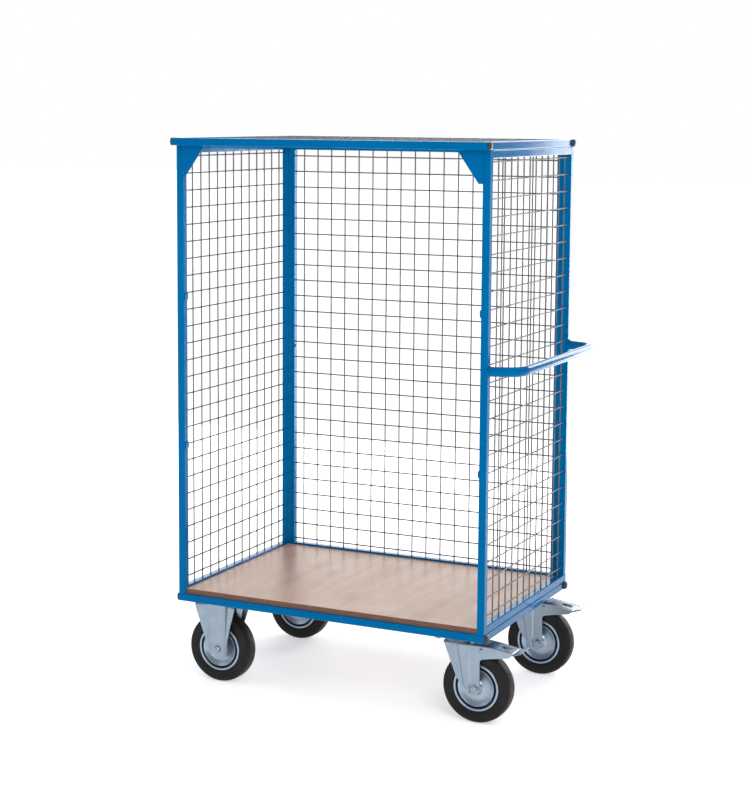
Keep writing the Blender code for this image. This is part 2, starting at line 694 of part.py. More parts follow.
def swivel_plate():
    """Plate and bolts with the upper ball race, the kingpin and its nut."""
    middle = PLATE_TOP - PLATE_THICK / 2
    crown_under = CROWN_TOP - LEG_THICK
    pin = rod(KINGPIN_RADIUS, (0, 0, KINGPIN_LOW), (0, 0, middle), 8)
    race = rod(RACE_RADIUS, (0, 0, CROWN_TOP + GAP), (0, 0, middle), 16)
    nut = rod(KINGPIN_NUT, (0, 0, KINGPIN_NUT_LOW), (0, 0, crown_under - GAP), 6)
    return fused([*plate_solids(), race, pin, nut])


def swivel_fork():
    """Crown with the lower race ring, two trailing legs with wings, and the brake pedal's pin."""
    crown = sheet(
        [[(-CROWN_FRONT, -CROWN_HALF), (CROWN_REAR, -CROWN_HALF), (CROWN_REAR, CROWN_HALF),
          (-CROWN_FRONT, CROWN_HALF)], circle(0, 0, KINGPIN_RADIUS + 3 * GAP)], LEG_THICK)
    crown.transform(Matrix.Translation((0, 0, CROWN_TOP - LEG_THICK / 2)))
    ring_low = CROWN_TOP - LEG_THICK / 2
    ring = turned([(RING_OUTSIDE, ring_low), (RING_OUTSIDE - LEG_THICK, RING_TOP), (RING_INSIDE, RING_TOP),
                   (RING_INSIDE, ring_low)], 16)
    legs = both_legs(upright([SWIVEL_LEG], LEG_INSIDE, LEG_OUTSIDE))
    ribs = both_legs(upright([SWIVEL_RIB], LEG_OUTSIDE - RIB_HEIGHT, LEG_OUTSIDE + RIB_HEIGHT))
    reach = LEG_OUTSIDE + PIN_END
    pin = rod(PIN_RADIUS, (PIN_X, -reach, PIN_Z), (PIN_X, reach, PIN_Z), 8)
    head = rod(PIN_HEAD, (PIN_X, LEG_OUTSIDE - GAP, PIN_Z), (PIN_X, LEG_OUTSIDE + RIB_HEIGHT, PIN_Z), 8)
    shell = fused([crown, ring, legs, ribs], [cross_hole(TRAIL, WHEEL_RADIUS, AXLE_RADIUS + GAP)])
    return fused([shell, pin, both_legs(head)])


def brake_pedal():
    """Two cheeks on the pin, a sloping slotted cover with a foot lip, and the shoe above the tyre."""
    outer = LEG_INSIDE - GAP
    inner = outer - PEDAL_SHEET
    hole = circle(PIN_X, PIN_Z, PIN_RADIUS + GAP * 2)
    cheeks = both_legs(upright([PEDAL_CHEEK, hole], inner, outer))
    cover = upright([PEDAL_COVER], -outer, outer)
    (shoe_front, shoe_low), (shoe_rear, shoe_high) = SHOE
    shoe = block((shoe_front, -SHOE_HALF, shoe_low), (shoe_rear, SHOE_HALF, shoe_high))
    (slot_front, slot_low), (slot_rear, slot_high) = SLOT
    slot = block((slot_front, -SLOT_HALF, slot_low), (slot_rear, SLOT_HALF, slot_high))
    mesh = fused([cheeks, cover, shoe], [slot])
    mesh.transform(Matrix.Translation((-PIN_X, 0, -PIN_Z)))
    return mesh


wheel_ys = {"front": FRONT + WHEEL_INSET, "rear": REAR - WHEEL_INSET}
beam("caster_beam_left", LEFT + FIXED_X, wheel_ys.values())
beam("caster_beam_right", LEFT + SWIVEL_X, wheel_ys.values())

fixed_mesh = fixed_fork()
plate_mesh = swivel_plate()
fork_mesh = swivel_fork()
pedal_mesh = brake_pedal()
for row, wheel_y in wheel_ys.items():
    place(f"fixed_fork_{row}", fixed_mesh, ZINC, (LEFT + FIXED_X, wheel_y, 0))
    wheel(f"fixed_{row}", LEFT + FIXED_X, wheel_y)
    swivel_x = LEFT + SWIVEL_X
    place(f"swivel_plate_{row}", plate_mesh, ZINC, (swivel_x, wheel_y, 0))
    place(f"swivel_fork_{row}", fork_mesh, ZINC, (swivel_x, wheel_y, 0))
    place(f"brake_pedal_{row}", pedal_mesh, ZINC, (swivel_x + PIN_X, wheel_y, PIN_Z))
    wheel(f"swivel_{row}", swivel_x + TRAIL, wheel_y)

for leftover in list(blanks.objects):
    bpy.data.objects.remove(leftover, do_unlink=True)
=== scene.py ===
"""Roll cage container: finishes, wire mesh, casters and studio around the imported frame.

Every mesh is built in the frame's own axes in metres, so Object texture coordinates are metres too.
"""

import json
import math
import random

import bmesh
import bpy
import numpy as np
from mathutils import Matrix, Vector

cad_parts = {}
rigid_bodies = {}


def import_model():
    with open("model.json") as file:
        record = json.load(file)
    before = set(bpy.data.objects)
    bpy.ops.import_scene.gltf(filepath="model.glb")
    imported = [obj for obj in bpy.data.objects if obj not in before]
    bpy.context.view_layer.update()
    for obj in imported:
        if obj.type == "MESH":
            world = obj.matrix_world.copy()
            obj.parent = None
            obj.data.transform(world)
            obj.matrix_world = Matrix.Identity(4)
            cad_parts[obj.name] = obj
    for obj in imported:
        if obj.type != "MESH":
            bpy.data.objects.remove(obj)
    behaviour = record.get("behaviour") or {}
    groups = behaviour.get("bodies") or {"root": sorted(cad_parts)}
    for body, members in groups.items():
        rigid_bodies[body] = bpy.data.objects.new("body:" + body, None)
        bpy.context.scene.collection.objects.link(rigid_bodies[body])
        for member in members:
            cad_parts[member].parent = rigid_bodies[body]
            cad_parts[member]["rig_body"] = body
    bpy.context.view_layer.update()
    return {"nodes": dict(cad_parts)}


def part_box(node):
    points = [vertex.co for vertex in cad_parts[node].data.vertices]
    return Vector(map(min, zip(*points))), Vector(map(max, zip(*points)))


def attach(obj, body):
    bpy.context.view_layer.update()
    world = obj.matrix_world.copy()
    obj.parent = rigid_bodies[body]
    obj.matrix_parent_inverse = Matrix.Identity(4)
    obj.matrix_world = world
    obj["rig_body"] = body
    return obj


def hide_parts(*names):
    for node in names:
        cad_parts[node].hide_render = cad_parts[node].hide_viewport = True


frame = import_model()

# ---- dimensions of the real thing, metres
TUBE = 0.022
WIRE = 0.0021                # wire radius
WIRE_DEPTH = 0.0108          # middle of a mesh panel from its wall's outer face
ROOF_WIRE_DEPTH = 0.0044     # middle of the roof's mesh below the rails' top
WIRE_SINK = 0.00025          # how far crossing wires are pressed into each other
WIRE_BOW = 0.00025           # how far a wire strays between two crossings
NUGGET_SWELL = (0.0012, 0.0016)
NUGGET_SPREAD = (0.0023, 0.0029)
WIRE_ROWS = 26
ROW_PITCH = 0.050
REAR_COLUMNS = 18
REAR_PITCH = 0.0487
SIDE_PITCH = 0.0479
LEFT_COLUMNS = 12
RIGHT_COLUMNS = 13
ROOF_ROWS = 13
REAR_TOP_ROW = 0.0194
SIDE_TOP_ROW = 0.0090
WHEEL_RADIUS = 0.1025
LEG_OUTSIDE = 0.0335
LEG_SHEET = 0.0030
CROWN_TOP = 0.230
PLATE_UNDER = 0.243
PLATE_TOP = 0.247
PLATE_SIZE = (0.135, 0.110)
BOLT_SPAN = (0.105, 0.080)
TRAIL = 0.056
PIN = (0.076, 0.214)         # pedal pin from the swivel axis, and its height
HANDLE_RADIUS = 0.0135
HANDLE_BEND = 0.050
HANDLE_SPLAY = math.radians(20.0)
HANDLE_STUB = 0.010          # straight start of the handle, square to the posts
STUB_BEND = 0.035
BOLT_HEIGHT = 0.944          # bolts that join the walls at the rear corners
SEAM = 0.0002                # how far touching parts sit into each other
PANEL_TUCK = 0.001           # how much longer a wire is than the opening it spans
PANEL_GAP = 0.0003           # clearance between a panel's rows and its frame

draw = random.Random(7)


# ---- places read from the frame

def low(node):
    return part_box(node)[0]


def high(node):
    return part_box(node)[1]


LEFT = low("base_rail_front").x
RIGHT = high("base_rail_front").x
FRONT = low("base_rail_front").y
REAR = high("base_rail_rear").y
BASE_BOTTOM = low("base_rail_front").z
BASE_TOP = high("base_rail_front").z
CAGE_TOP = high("roof_rail_front").z
ROOF_BOTTOM = low("roof_rail_front").z
OPEN_LOW = high("rear_wall_bottom_tube").z
OPEN_HIGH = low("rear_wall_top_tube").z
IN_LEFT = high("rear_wall_left_post").x
IN_RIGHT = low("rear_wall_right_post").x
SIDE_FRONT = high("left_wall_front_post").y
SIDE_REAR = low("rear_wall_left_post").y
MIDDLE_X = (LEFT + RIGHT) / 2


# ---- node materials

class Finish:
    """A Principled material with the nodes that feed it."""

    def __init__(self, name, colour, roughness, metallic=0.0, specular=0.5):
        self.material = bpy.data.materials.new(name)
        self.material.use_nodes = True
        self.tree = self.material.node_tree
        self.shader = self.tree.nodes["Principled BSDF"]
        self.shader.inputs["Base Color"].default_value = (*colour, 1)
        self.shader.inputs["Roughness"].default_value = roughness
        self.shader.inputs["Metallic"].default_value = metallic
        self.shader.inputs["Specular IOR Level"].default_value = specular
        self.where = self.add("ShaderNodeTexCoord").outputs["Object"]

    def add(self, kind, values=None, **settings):
        made = self.tree.nodes.new(kind)
        for key, value in settings.items():
            setattr(made, key, value)
        for socket, value in (values or {}).items():
            if isinstance(value, bpy.types.NodeSocket):
                self.tree.links.new(value, made.inputs[socket])
            else:
                made.inputs[socket].default_value = value
        return made

    def noise(self, scale, detail=3.0, stretch=None, turbulence=0.5):
        where = self.where
        if stretch:
            where = self.add("ShaderNodeMapping", {"Vector": where, "Scale": stretch}).outputs["Vector"]
        values = {"Vector": where, "Scale": scale, "Detail": detail, "Roughness": turbulence}
        return self.add("ShaderNodeTexNoise", values).outputs["Fac"]

    def ramp(self, source, start, end, low_value=0.0, high_value=1.0):
        values = {"Value": source, "From Min": start, "From Max": end}
        values |= {"To Min": low_value, "To Max": high_value}
        return self.add("ShaderNodeMapRange", values).outputs["Result"]

    def maths(self, operation, first, second):
        return self.add("ShaderNodeMath", {0: first, 1: second}, operation=operation).outputs["Value"]

    def mix(self, factor, first, second):
        values = {0: factor}
        for socket, value in ((6, first), (7, second)):
            values[socket] = value if isinstance(value, bpy.types.NodeSocket) else (*value, 1)
        return self.add("ShaderNodeMix", values, data_type="RGBA").outputs[2]

    def edges(self, radius):
        """1 along sharp edges, 0 on flat and round faces."""
        rounded = self.add("ShaderNodeBevel", {"Radius": radius}, samples=4).outputs["Normal"]
        normal = self.add("ShaderNodeNewGeometry").outputs["Normal"]
        dot = self.add("ShaderNodeVectorMath", {0: rounded, 1: normal}, operation="DOT_PRODUCT")
        return self.ramp(dot.outputs["Value"], 0.985, 0.85)

    def facing(self, axis):
        """A component of the surface normal."""
        normal = self.add("ShaderNodeNewGeometry").outputs["Normal"]
        return self.add("ShaderNodeSeparateXYZ", {0: normal}).outputs[axis]

    def colour(self, source):
        self.tree.links.new(source, self.shader.inputs["Base Color"])

    def roughness(self, source):
        self.tree.links.new(source, self.shader.inputs["Roughness"])

    def bump(self, layers):
        """Stack (height, strength, distance) layers on the shading normal."""
        normal = None
        for height, strength, distance in layers:
            values = {"Height": height, "Strength": strength, "Distance": distance}
            if normal:
                values["Normal"] = normal
            normal = self.add("ShaderNodeBump", values).outputs["Normal"]
        self.tree.links.new(normal, self.shader.inputs["Normal"])


def powder_coat():
    """Blue coat: slightly cloudy, rubbed lighter along its edges, with faint scuffs."""
    coat = Finish("blue_powder_coat", (0.0, 0.150, 0.400), 0.24)
    coat.shader.inputs["IOR"].default_value = 1.30
    coat.shader.inputs["Specular Tint"].default_value = (0.0, 0.45, 1.0, 1)
    cloud = coat.ramp(coat.noise(3.0, 4.0), 0.3, 0.7)
    tone = coat.mix(cloud, (0.0, 0.106, 0.285), (0.0, 0.124, 0.322))
    rub = coat.ramp(coat.noise(46.0, 5.0), 0.52, 0.66)
    worn = coat.maths("MULTIPLY", coat.edges(0.0014), rub)
    tone = coat.mix(coat.maths("MULTIPLY", worn, 0.55), tone, (0.030, 0.250, 0.520))
    scuff = coat.ramp(coat.noise(9.0, 8.0, (1.0, 1.0, 6.0), 0.7), 0.62, 0.72)
    tone = coat.mix(coat.maths("MULTIPLY", scuff, 0.16), tone, (0.008, 0.190, 0.460))
    coat.colour(tone)
    rough = coat.ramp(coat.noise(17.0, 4.0), 0.3, 0.7, 0.09, 0.13)
    coat.roughness(coat.maths("ADD", rough, coat.maths("MULTIPLY", worn, 0.18)))
    coat.bump([(coat.noise(620.0, 2.0), 0.06, 0.0003), (coat.noise(60.0, 3.0), 0.03, 0.0006)])
    return coat.material


def zinc(name, dark, light, roughness, soil=1.0):
    """Zinc plating: cloudy grey with grain, dull stains, and a painted highlight along its edges."""
    plate = Finish(name, light, roughness, 0.88)
    cloud = plate.ramp(plate.noise(38.0, 5.0), 0.32, 0.68)
    tone = plate.mix(cloud, dark, light)
    grain = plate.ramp(plate.noise(110.0, 3.0, (1.0, 1.0, 0.25)), 0.3, 0.7)
    tone = plate.mix(plate.maths("MULTIPLY", grain, 0.14 * soil), tone, (0.36, 0.44, 0.52))
    stain = plate.ramp(plate.noise(12.0, 3.0), 0.56, 0.76)
    tone = plate.mix(plate.maths("MULTIPLY", stain, 0.25 * soil), tone, (0.30, 0.30, 0.29))
    # painted highlight: every sharp edge is lightened towards pale blue-grey, standing in for light caught
    # on folds and rims
    edge_highlight = plate.maths("MULTIPLY", plate.edges(0.0010), 0.25)
    plate.colour(plate.mix(edge_highlight, tone, (0.66, 0.73, 0.80)))
    rough = plate.ramp(plate.noise(60.0, 3.0), 0.3, 0.7, roughness - 0.02, roughness + 0.03)
    plate.roughness(rough)
    fine = plate.noise(300.0, 3.0)
    coarse = plate.noise(34.0, 2.0)
    plate.bump([(fine, 0.05 * soil, 0.0002), (coarse, 0.03 * soil, 0.0006)])
    return plate.material


def wire_finish():
    """Galvanised wire with small frosty spots."""
    wire = Finish("galvanised_wire", (0.12, 0.12, 0.13), 0.45, 0.40, 0.30)
    cloud = wire.ramp(wire.noise(60.0, 4.0), 0.35, 0.65)
    tone = wire.mix(cloud, (0.095, 0.098, 0.108), (0.145, 0.148, 0.160))
    frost = wire.ramp(wire.noise(500.0, 2.0), 0.55, 0.7)
    wire.colour(wire.mix(wire.maths("MULTIPLY", frost, 0.4), tone, (0.26, 0.265, 0.275)))
    wire.roughness(wire.ramp(wire.noise(150.0, 3.0), 0.3, 0.7, 0.40, 0.55))
    wire.bump([(wire.noise(700.0, 2.0), 0.15, 0.0003)])
    return wire.material


def board_finish():
    """Light laminate with a grain along Y on top, and dark plies at the edges."""
    board = Finish("laminated_board", (0.42, 0.26, 0.18), 0.30, specular=0.5)
    figure = board.noise(2.6, 6.0, (9.0, 1.0, 1.0), 0.6)
    fibre = board.noise(14.0, 5.0, (20.0, 1.0, 1.0), 0.6)
    pores = board.ramp(board.noise(40.0, 2.0, (16.0, 1.0, 1.0)), 0.58, 0.74)
    tone = board.mix(board.ramp(figure, 0.34, 0.68), (0.405, 0.245, 0.172), (0.540, 0.352, 0.262))
    tone = board.mix(board.ramp(fibre, 0.35, 0.75, 0.0, 0.45), tone, (0.360, 0.215, 0.150))
    tone = board.mix(board.maths("MULTIPLY", pores, 0.30), tone, (0.240, 0.135, 0.090))
    plies = board.noise(240.0, 3.0, (0.12, 0.12, 1.0))
    chips = board.noise(330.0, 3.0)
    edge = board.mix(board.ramp(plies, 0.35, 0.65), (0.115, 0.050, 0.030), (0.170, 0.078, 0.048))
    edge = board.mix(board.ramp(chips, 0.45, 0.7, 0.0, 0.5), edge, (0.120, 0.060, 0.040))
    top = board.ramp(board.facing("Z"), 0.55, 0.75)
    board.colour(board.mix(top, edge, tone))
    smooth = board.ramp(board.noise(7.0, 3.0), 0.3, 0.7, 0.31, 0.39)
    board.roughness(board.maths("ADD", smooth, board.ramp(board.facing("Z"), 0.75, 0.55, 0.0, 0.35)))
    board.bump([(fibre, 0.03, 0.0002), (pores, 0.02, 0.0001)])
    return board.material


def rubber_finish():
    """Black rubber with a little dust."""
    rubber = Finish("black_rubber", (0.014, 0.012, 0.013), 0.55, specular=0.24)
    cloud = rubber.ramp(rubber.noise(24.0, 5.0), 0.35, 0.7)
    tone = rubber.mix(cloud, (0.006, 0.005, 0.0054), (0.010, 0.0088, 0.0092))
    dust = rubber.ramp(rubber.noise(70.0, 6.0, None, 0.65), 0.56, 0.74)
    rubber.colour(rubber.mix(rubber.maths("MULTIPLY", dust, 0.28), tone, (0.036, 0.033, 0.032)))
    rubber.roughness(rubber.ramp(rubber.noise(45.0, 4.0), 0.3, 0.7, 0.46, 0.64))
    rubber.bump([(rubber.noise(520.0, 3.0), 0.20, 0.0004), (rubber.noise(60.0, 2.0), 0.06, 0.001)])
    return rubber.material


def plastic_finish():
    """Black moulded plastic, worn lighter along its edges."""
    plastic = Finish("black_plastic", (0.012, 0.012, 0.014), 0.42)
    cloud = plastic.noise(110.0, 4.0)
    tone = plastic.mix(plastic.ramp(cloud, 0.35, 0.7), (0.010, 0.010, 0.011), (0.020, 0.020, 0.022))
    worn = plastic.maths("MULTIPLY", plastic.edges(0.0012), 0.35)
    plastic.colour(plastic.mix(worn, tone, (0.060, 0.060, 0.062)))
    plastic.roughness(plastic.ramp(plastic.noise(210.0, 3.0), 0.3, 0.7, 0.34, 0.52))
    plastic.bump([(plastic.noise(900.0, 2.0), 0.22, 0.0003)])
    return plastic.material


BLUE = powder_coat()
ZINC = zinc("zinc_plated_steel", (0.25, 0.31, 0.37), (0.29, 0.36, 0.43), 0.30, 0.6)
DISC = zinc("zinc_wheel_disc", (0.31, 0.38, 0.46), (0.36, 0.44, 0.52), 0.33, 0.4)
# the groove's dark blue is painted shade and painted reflection, not a finish of its own
GROOVE_SHADE = zinc("groove_painted_shade", (0.045, 0.150, 0.300), (0.060, 0.190, 0.370), 0.34, 0.4)
WIRES = wire_finish()
BOARD = board_finish()
RUBBER = rubber_finish()
PLASTIC = plastic_finish()

for name, node in frame["nodes"].items():
    kept = PLASTIC if "_cap_" in name else BOARD if name == "deck_board" else BLUE
    node.data.materials.clear()
    node.data.materials.append(kept)


# ---- mesh building

def loft(rings, looped=False):
    """A closed skin through rings of equally many points."""
    count = len(rings[0])
    verts = [point for ring in rings for point in ring]
    faces = []
    for number in range(len(rings) if looped else len(rings) - 1):
        first = number * count
        second = (number + 1) % len(rings) * count
        for step in range(count):
            after = (step + 1) % count
            faces.append((first + step, first + after, second + after, second + step))
    if not looped:
        faces.append(tuple(reversed(range(count))))
        faces.append(tuple(range(len(verts) - count, len(verts))))
    return verts, faces


def ring(centre, across, up, radius, sides, phase=0.0):
    """Points of a circle in the plane of across and up."""
    angles = [phase + 2 * math.pi * step / sides for step in range(sides)]
    return [centre + radius * (math.cos(angle) * across + math.sin(angle) * up) for angle in angles]


def frame_of(direction):
    """Two unit vectors square to a direction."""
    up = Vector((0, 0, 1)) if abs(direction.z) < 0.9 else Vector((0, 1, 0))
    across = direction.cross(up).normalized()
    return across, across.cross(direction).normalized()


def sweep(path, radii, sides=10, looped=False):
    """A round bar along a path; radii is one number or one for each point."""
    if not isinstance(radii, (list, tuple)):
        radii = [radii] * len(path)
    rings = []
    for number, point in enumerate(path):
        after = path[(number + 1) % len(path)] if looped else path[min(number + 1, len(path) - 1)]
        before = path[number - 1] if looped else path[max(number - 1, 0)]
        across, up = frame_of((after - before).normalized())
        rings.append(ring(point, across, up, radii[number], sides))
    return loft(rings, looped)


def lathe(profile, centre, steps, axis="Y"):
    """A closed profile of (radius, height) points turned about an axis."""
    rings = []
    for step in range(steps):
        angle = 2 * math.pi * step / steps
        c, s = math.cos(angle), math.sin(angle)
        if axis == "Y":
            rings.append([centre + Vector((r * c, h, r * s)) for r, h in profile])
        else:
            rings.append([centre + Vector((r * c, r * s, h)) for r, h in profile])
    return loft(rings, looped=True)


def slab(grid, thickness, keep=None):
    """A sheet of the given thickness behind a grid of points; keep says which cells are there."""
    rows, columns = grid.shape[:2]
    normal = np.cross(np.gradient(grid, axis=1), np.gradient(grid, axis=0))
    normal /= np.linalg.norm(normal, axis=2, keepdims=True)
    verts = [Vector(point) for point in np.concatenate((grid, grid - normal * thickness)).reshape(-1, 3)]
    half = rows * columns
    cells = {(r, c) for r in range(rows - 1) for c in range(columns - 1) if keep is None or keep(r, c)}
    faces = []
    for r, c in sorted(cells):
        a = r * columns + c
        b, d, e = a + 1, a + columns, a + columns + 1
        faces += [(a, b, e, d), (a + half, d + half, e + half, b + half)]
        for near, i, j in (((r - 1, c), a, b), ((r + 1, c), e, d), ((r, c - 1), d, a), ((r, c + 1), b, e)):
            if near not in cells:
                faces.append((j, i, i + half, j + half))
    return verts, faces


BEVEL_STEPS = 2
BEVEL_LIMIT = math.radians(50)
SHEET_BEVEL = 0.0004
YOKE_BEVEL = 0.0005
YOKE_ANGLE = 28
ROUND_ANGLE = 60             # keeps rippled and turned surfaces smooth


def piece(name, solids, finish, nodes=(), body=None, bevel=0.0, angle=35.0):
    """One named mesh from several closed solids; (verts, faces) may carry a second finish."""
    work = bmesh.new()
    finishes = [finish]
    for verts, faces, *other in solids:
        if other and other[0] not in finishes:
            finishes.append(other[0])
        index = finishes.index(other[0]) if other else 0
        made = [work.verts.new(vert) for vert in verts]
        for face in faces:
            work.faces.new([made[number] for number in face]).material_index = index
    loose = [vert for vert in work.verts if not vert.link_faces]
    bmesh.ops.delete(work, geom=loose, context="VERTS")
    bmesh.ops.recalc_face_normals(work, faces=work.faces)
    mesh = bpy.data.meshes.new(name)
    work.to_mesh(mesh)
    work.free()
    for item in finishes:
        mesh.materials.append(item)
    mesh.shade_smooth()
    mesh.set_sharp_from_angle(angle=math.radians(angle))
    made = bpy.data.objects.new(name, mesh)
    bpy.context.scene.collection.objects.link(made)
    if bevel:
        rounding = made.modifiers.new("rounding", "BEVEL")
        rounding.width = bevel
        rounding.segments = BEVEL_STEPS
        rounding.limit_method = "ANGLE"
        rounding.angle_limit = BEVEL_LIMIT
        rounding.harden_normals = True
    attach(made, body or frame["nodes"][nodes[0]]["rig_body"])
    if nodes:
        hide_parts(*nodes)
    return made


def rounded_square(half_x, half_y, corner, steps=5):
    """(x, y) points of a rectangle with round corners."""
    points = []
    for quarter, (side, rise) in enumerate(((1, 1), (-1, 1), (-1, -1), (1, -1))):
        for step in range(steps):
            angle = (quarter + step / (steps - 1)) * math.pi / 2
            points.append((side * (half_x - corner) + corner * math.cos(angle),
                           rise * (half_y - corner) + corner * math.sin(angle)))
    return points


def smooth_line(points, per=6, closed=False):
    """Catmull-Rom points through a polyline of tuples."""
    count = len(points)
    result = []
    for number in range(count if closed else count - 1):
        index = [number - 1, number, number + 1, number + 2]
        index = [i % count for i in index] if closed else [min(max(i, 0), count - 1) for i in index]
        p = [np.array(points[i], float) for i in index]
        for step in range(per):
            t = step / per
            first = 2 * p[1] + (p[2] - p[0]) * t
            second = (2 * p[0] - 5 * p[1] + 4 * p[2] - p[3]) * t * t
            third = (3 * p[1] - p[0] - 3 * p[2] + p[3]) * t ** 3
            result.append(tuple(0.5 * (first + second + third)))
    if not closed:
        result.append(tuple(points[-1]))
    return result


def rise(value):
    """Smooth step from 0 to 1."""
    value = np.clip(value, 0, 1)
    return value * value * (3 - 2 * value)


def hexagon(centre, axis, across_flats, height, phase=0.0):
    """A hex head or nut with a chamfered crown, from centre along axis."""
    radius = across_flats / math.sqrt(3)
    across, up = frame_of(axis)
    levels = ((0.0, 0.97), (0.0005, 1.0), (height * 0.80, 1.0), (height, 0.86))
    rings = [ring(centre + axis * level, across, up, radius * share, 6, phase) for level, share in levels]
    return loft(rings)


def disc(centre, axis, radius, height, sides=28, dome=0.0):
    """A washer or a domed head with a softened rim."""
    across, up = frame_of(axis)
    rim = min(0.0004, height / 3)
    levels = ((0.0, radius - rim), (rim, radius), (height - rim, radius), (height, radius - rim))
    rings = [ring(centre + axis * level, across, up, wide, sides) for level, wide in levels]
    for share in ((0.35, 0.75, 1.0) if dome else ()):
        rings.append(ring(centre + axis * (height + dome * math.sin(share * math.pi / 2)), across, up,
                          (radius - rim) * max(math.cos(share * math.pi / 2), 0.12), sides))
    return loft(rings)


# ---- welded wire mesh

def mesh_wires(name, node, middle, across, up, inward, size, columns, rows):
    """Crossed round wires with a weld nugget at every crossing; columns lie on the inward side."""
    seat = WIRE - WIRE_SINK
    width, height = size
    solids = []
    for lines, stops, along, side, reach in (
            (columns, rows, up, across, height / 2), (rows, columns, across, up, width / 2)):
        depth = inward * (seat if along is up else -seat)
        for line in lines:
            marks = sorted([-reach, *stops, *[(a + b) / 2 for a, b in zip(stops, stops[1:])], reach])
            path = []
            for mark in marks:
                bow = 0.0 if mark in stops or abs(mark) == reach else draw.uniform(-WIRE_BOW, WIRE_BOW)
                path.append(middle + along * mark + side * (line + bow) + depth)
            solids.append(sweep(path, WIRE, 10))
    for x in columns:
        for z in rows:
            point = middle + across * x + up * z
            swell = draw.uniform(*NUGGET_SWELL)
            spread = draw.uniform(*NUGGET_SPREAD)
            rings = [ring(point + inward * swell * side, across, up, spread * share, 8)
                     for side, share in ((-1, 0.45), (-0.5, 0.9), (0.5, 0.9), (1, 0.45))]
            solids.append(loft(rings))
    piece(name, solids, WIRES, [node])


def evenly(count, pitch):
    """Offsets of evenly spaced wires about the middle."""
    return [(number - (count - 1) / 2) * pitch for number in range(count)]


X, Y, Z = Vector((1, 0, 0)), Vector((0, 1, 0)), Vector((0, 0, 1))
open_height = OPEN_HIGH - OPEN_LOW + PANEL_TUCK
open_middle = (OPEN_HIGH + OPEN_LOW) / 2
half_height = (OPEN_HIGH - OPEN_LOW) / 2 - PANEL_GAP
rear_rows = [half_height - REAR_TOP_ROW - ROW_PITCH * number for number in range(WIRE_ROWS)][::-1]
side_rows = [half_height - SIDE_TOP_ROW - ROW_PITCH * number for number in range(WIRE_ROWS)][::-1]
side_size = (SIDE_REAR - SIDE_FRONT + PANEL_TUCK, open_height)
side_middle = (SIDE_REAR + SIDE_FRONT) / 2

roof_near = high("roof_rail_front").y
roof_far = low("roof_rail_rear").y
rear_spot = Vector((MIDDLE_X, REAR - WIRE_DEPTH, open_middle))
left_spot = Vector((LEFT + WIRE_DEPTH, side_middle, open_middle))
right_spot = Vector((RIGHT - WIRE_DEPTH, side_middle, open_middle))
roof_spot = Vector((MIDDLE_X, (roof_near + roof_far) / 2, CAGE_TOP - ROOF_WIRE_DEPTH))
rear_size = (IN_RIGHT - IN_LEFT + PANEL_TUCK, open_height)
roof_size = (RIGHT - LEFT - 2 * TUBE + PANEL_TUCK, roof_far - roof_near + PANEL_TUCK)
rear_columns = evenly(REAR_COLUMNS, REAR_PITCH)
left_columns = evenly(LEFT_COLUMNS, SIDE_PITCH)
right_columns = evenly(RIGHT_COLUMNS, SIDE_PITCH)
roof_rows = evenly(ROOF_ROWS, SIDE_PITCH)
mesh_wires("wire_mesh_rear", "rear_wall_mesh", rear_spot, X, Z, -Y, rear_size, rear_columns, rear_rows)
mesh_wires("wire_mesh_left", "left_wall_mesh", left_spot, Y, Z, X, side_size, left_columns, side_rows)
mesh_wires("wire_mesh_right", "right_wall_mesh", right_spot, Y, Z, -X, side_size, right_columns, side_rows)
mesh_wires("wire_mesh_roof", "roof_mesh", roof_spot, X, Y, Z, roof_size, rear_columns, roof_rows)


# ---- push handle

BEND_STEP = 0.09              # angle between two sections of a bend


def filleted(corners, radii):
    """A path through corner points with an arc at each inner corner."""
    path = [corners[0]]
    for before, corner, after, radius in zip(corners, corners[1:], corners[2:], radii):
        enter = (before - corner).normalized()
        leave = (after - corner).normalized()
        half = enter.angle(leave) / 2
        tangent = radius / math.tan(half)
        centre = corner + (enter + leave).normalized() * radius / math.sin(half)
        start = corner + enter * tangent - centre
        sweep_angle = math.pi - 2 * half
        axis = start.cross(leave).normalized()
        steps = max(4, int(sweep_angle / BEND_STEP))
        for step in range(steps + 1):
            path.append(centre + Matrix.Rotation(sweep_angle * step / steps, 3, axis) @ start)
    path.append(corners[-1])
    return path


handle_low, handle_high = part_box("push_handle")
grip_x = handle_high.x - HANDLE_RADIUS
near_y = handle_low.y + HANDLE_RADIUS
far_y = handle_high.y - HANDLE_RADIUS
grip_z = (handle_low.z + handle_high.z) / 2
splay = (grip_x - RIGHT - HANDLE_STUB) * math.tan(HANDLE_SPLAY)
corners = [Vector((RIGHT + SEAM, near_y, grip_z)), Vector((RIGHT + HANDLE_STUB, near_y, grip_z)),
           Vector((grip_x, near_y + splay, grip_z)), Vector((grip_x, far_y - splay, grip_z)),
           Vector((RIGHT + HANDLE_STUB, far_y, grip_z)), Vector((RIGHT + SEAM, far_y, grip_z))]
handle_path = filleted(corners, (STUB_BEND, HANDLE_BEND, HANDLE_BEND, STUB_BEND))
piece("handle_tube", [sweep(handle_path, HANDLE_RADIUS, 32)], BLUE, ["push_handle"])


# ---- welds

BEAD_RADIUS = 0.0022
BEAD_STEP = 0.0013
RIPPLE = math.pi * 0.9        # phase from one section of a bead to the next
COLLAR_STEPS = 56
COLLAR_BEAD = 0.0030
COLLAR_LIFT = 0.0006          # the collar's ring lies this far outside the tube
COLLAR_OUT = 0.0008           # and this far out from the post
WELD_INSET = 0.0015           # beads stop this short of a tube's edge
GUSSET_BEADS = (0.020, 0.048, 0.076)
GUSSET_BEAD_LENGTH = 0.014
GUSSET_BEAD_RADIUS = 0.0016


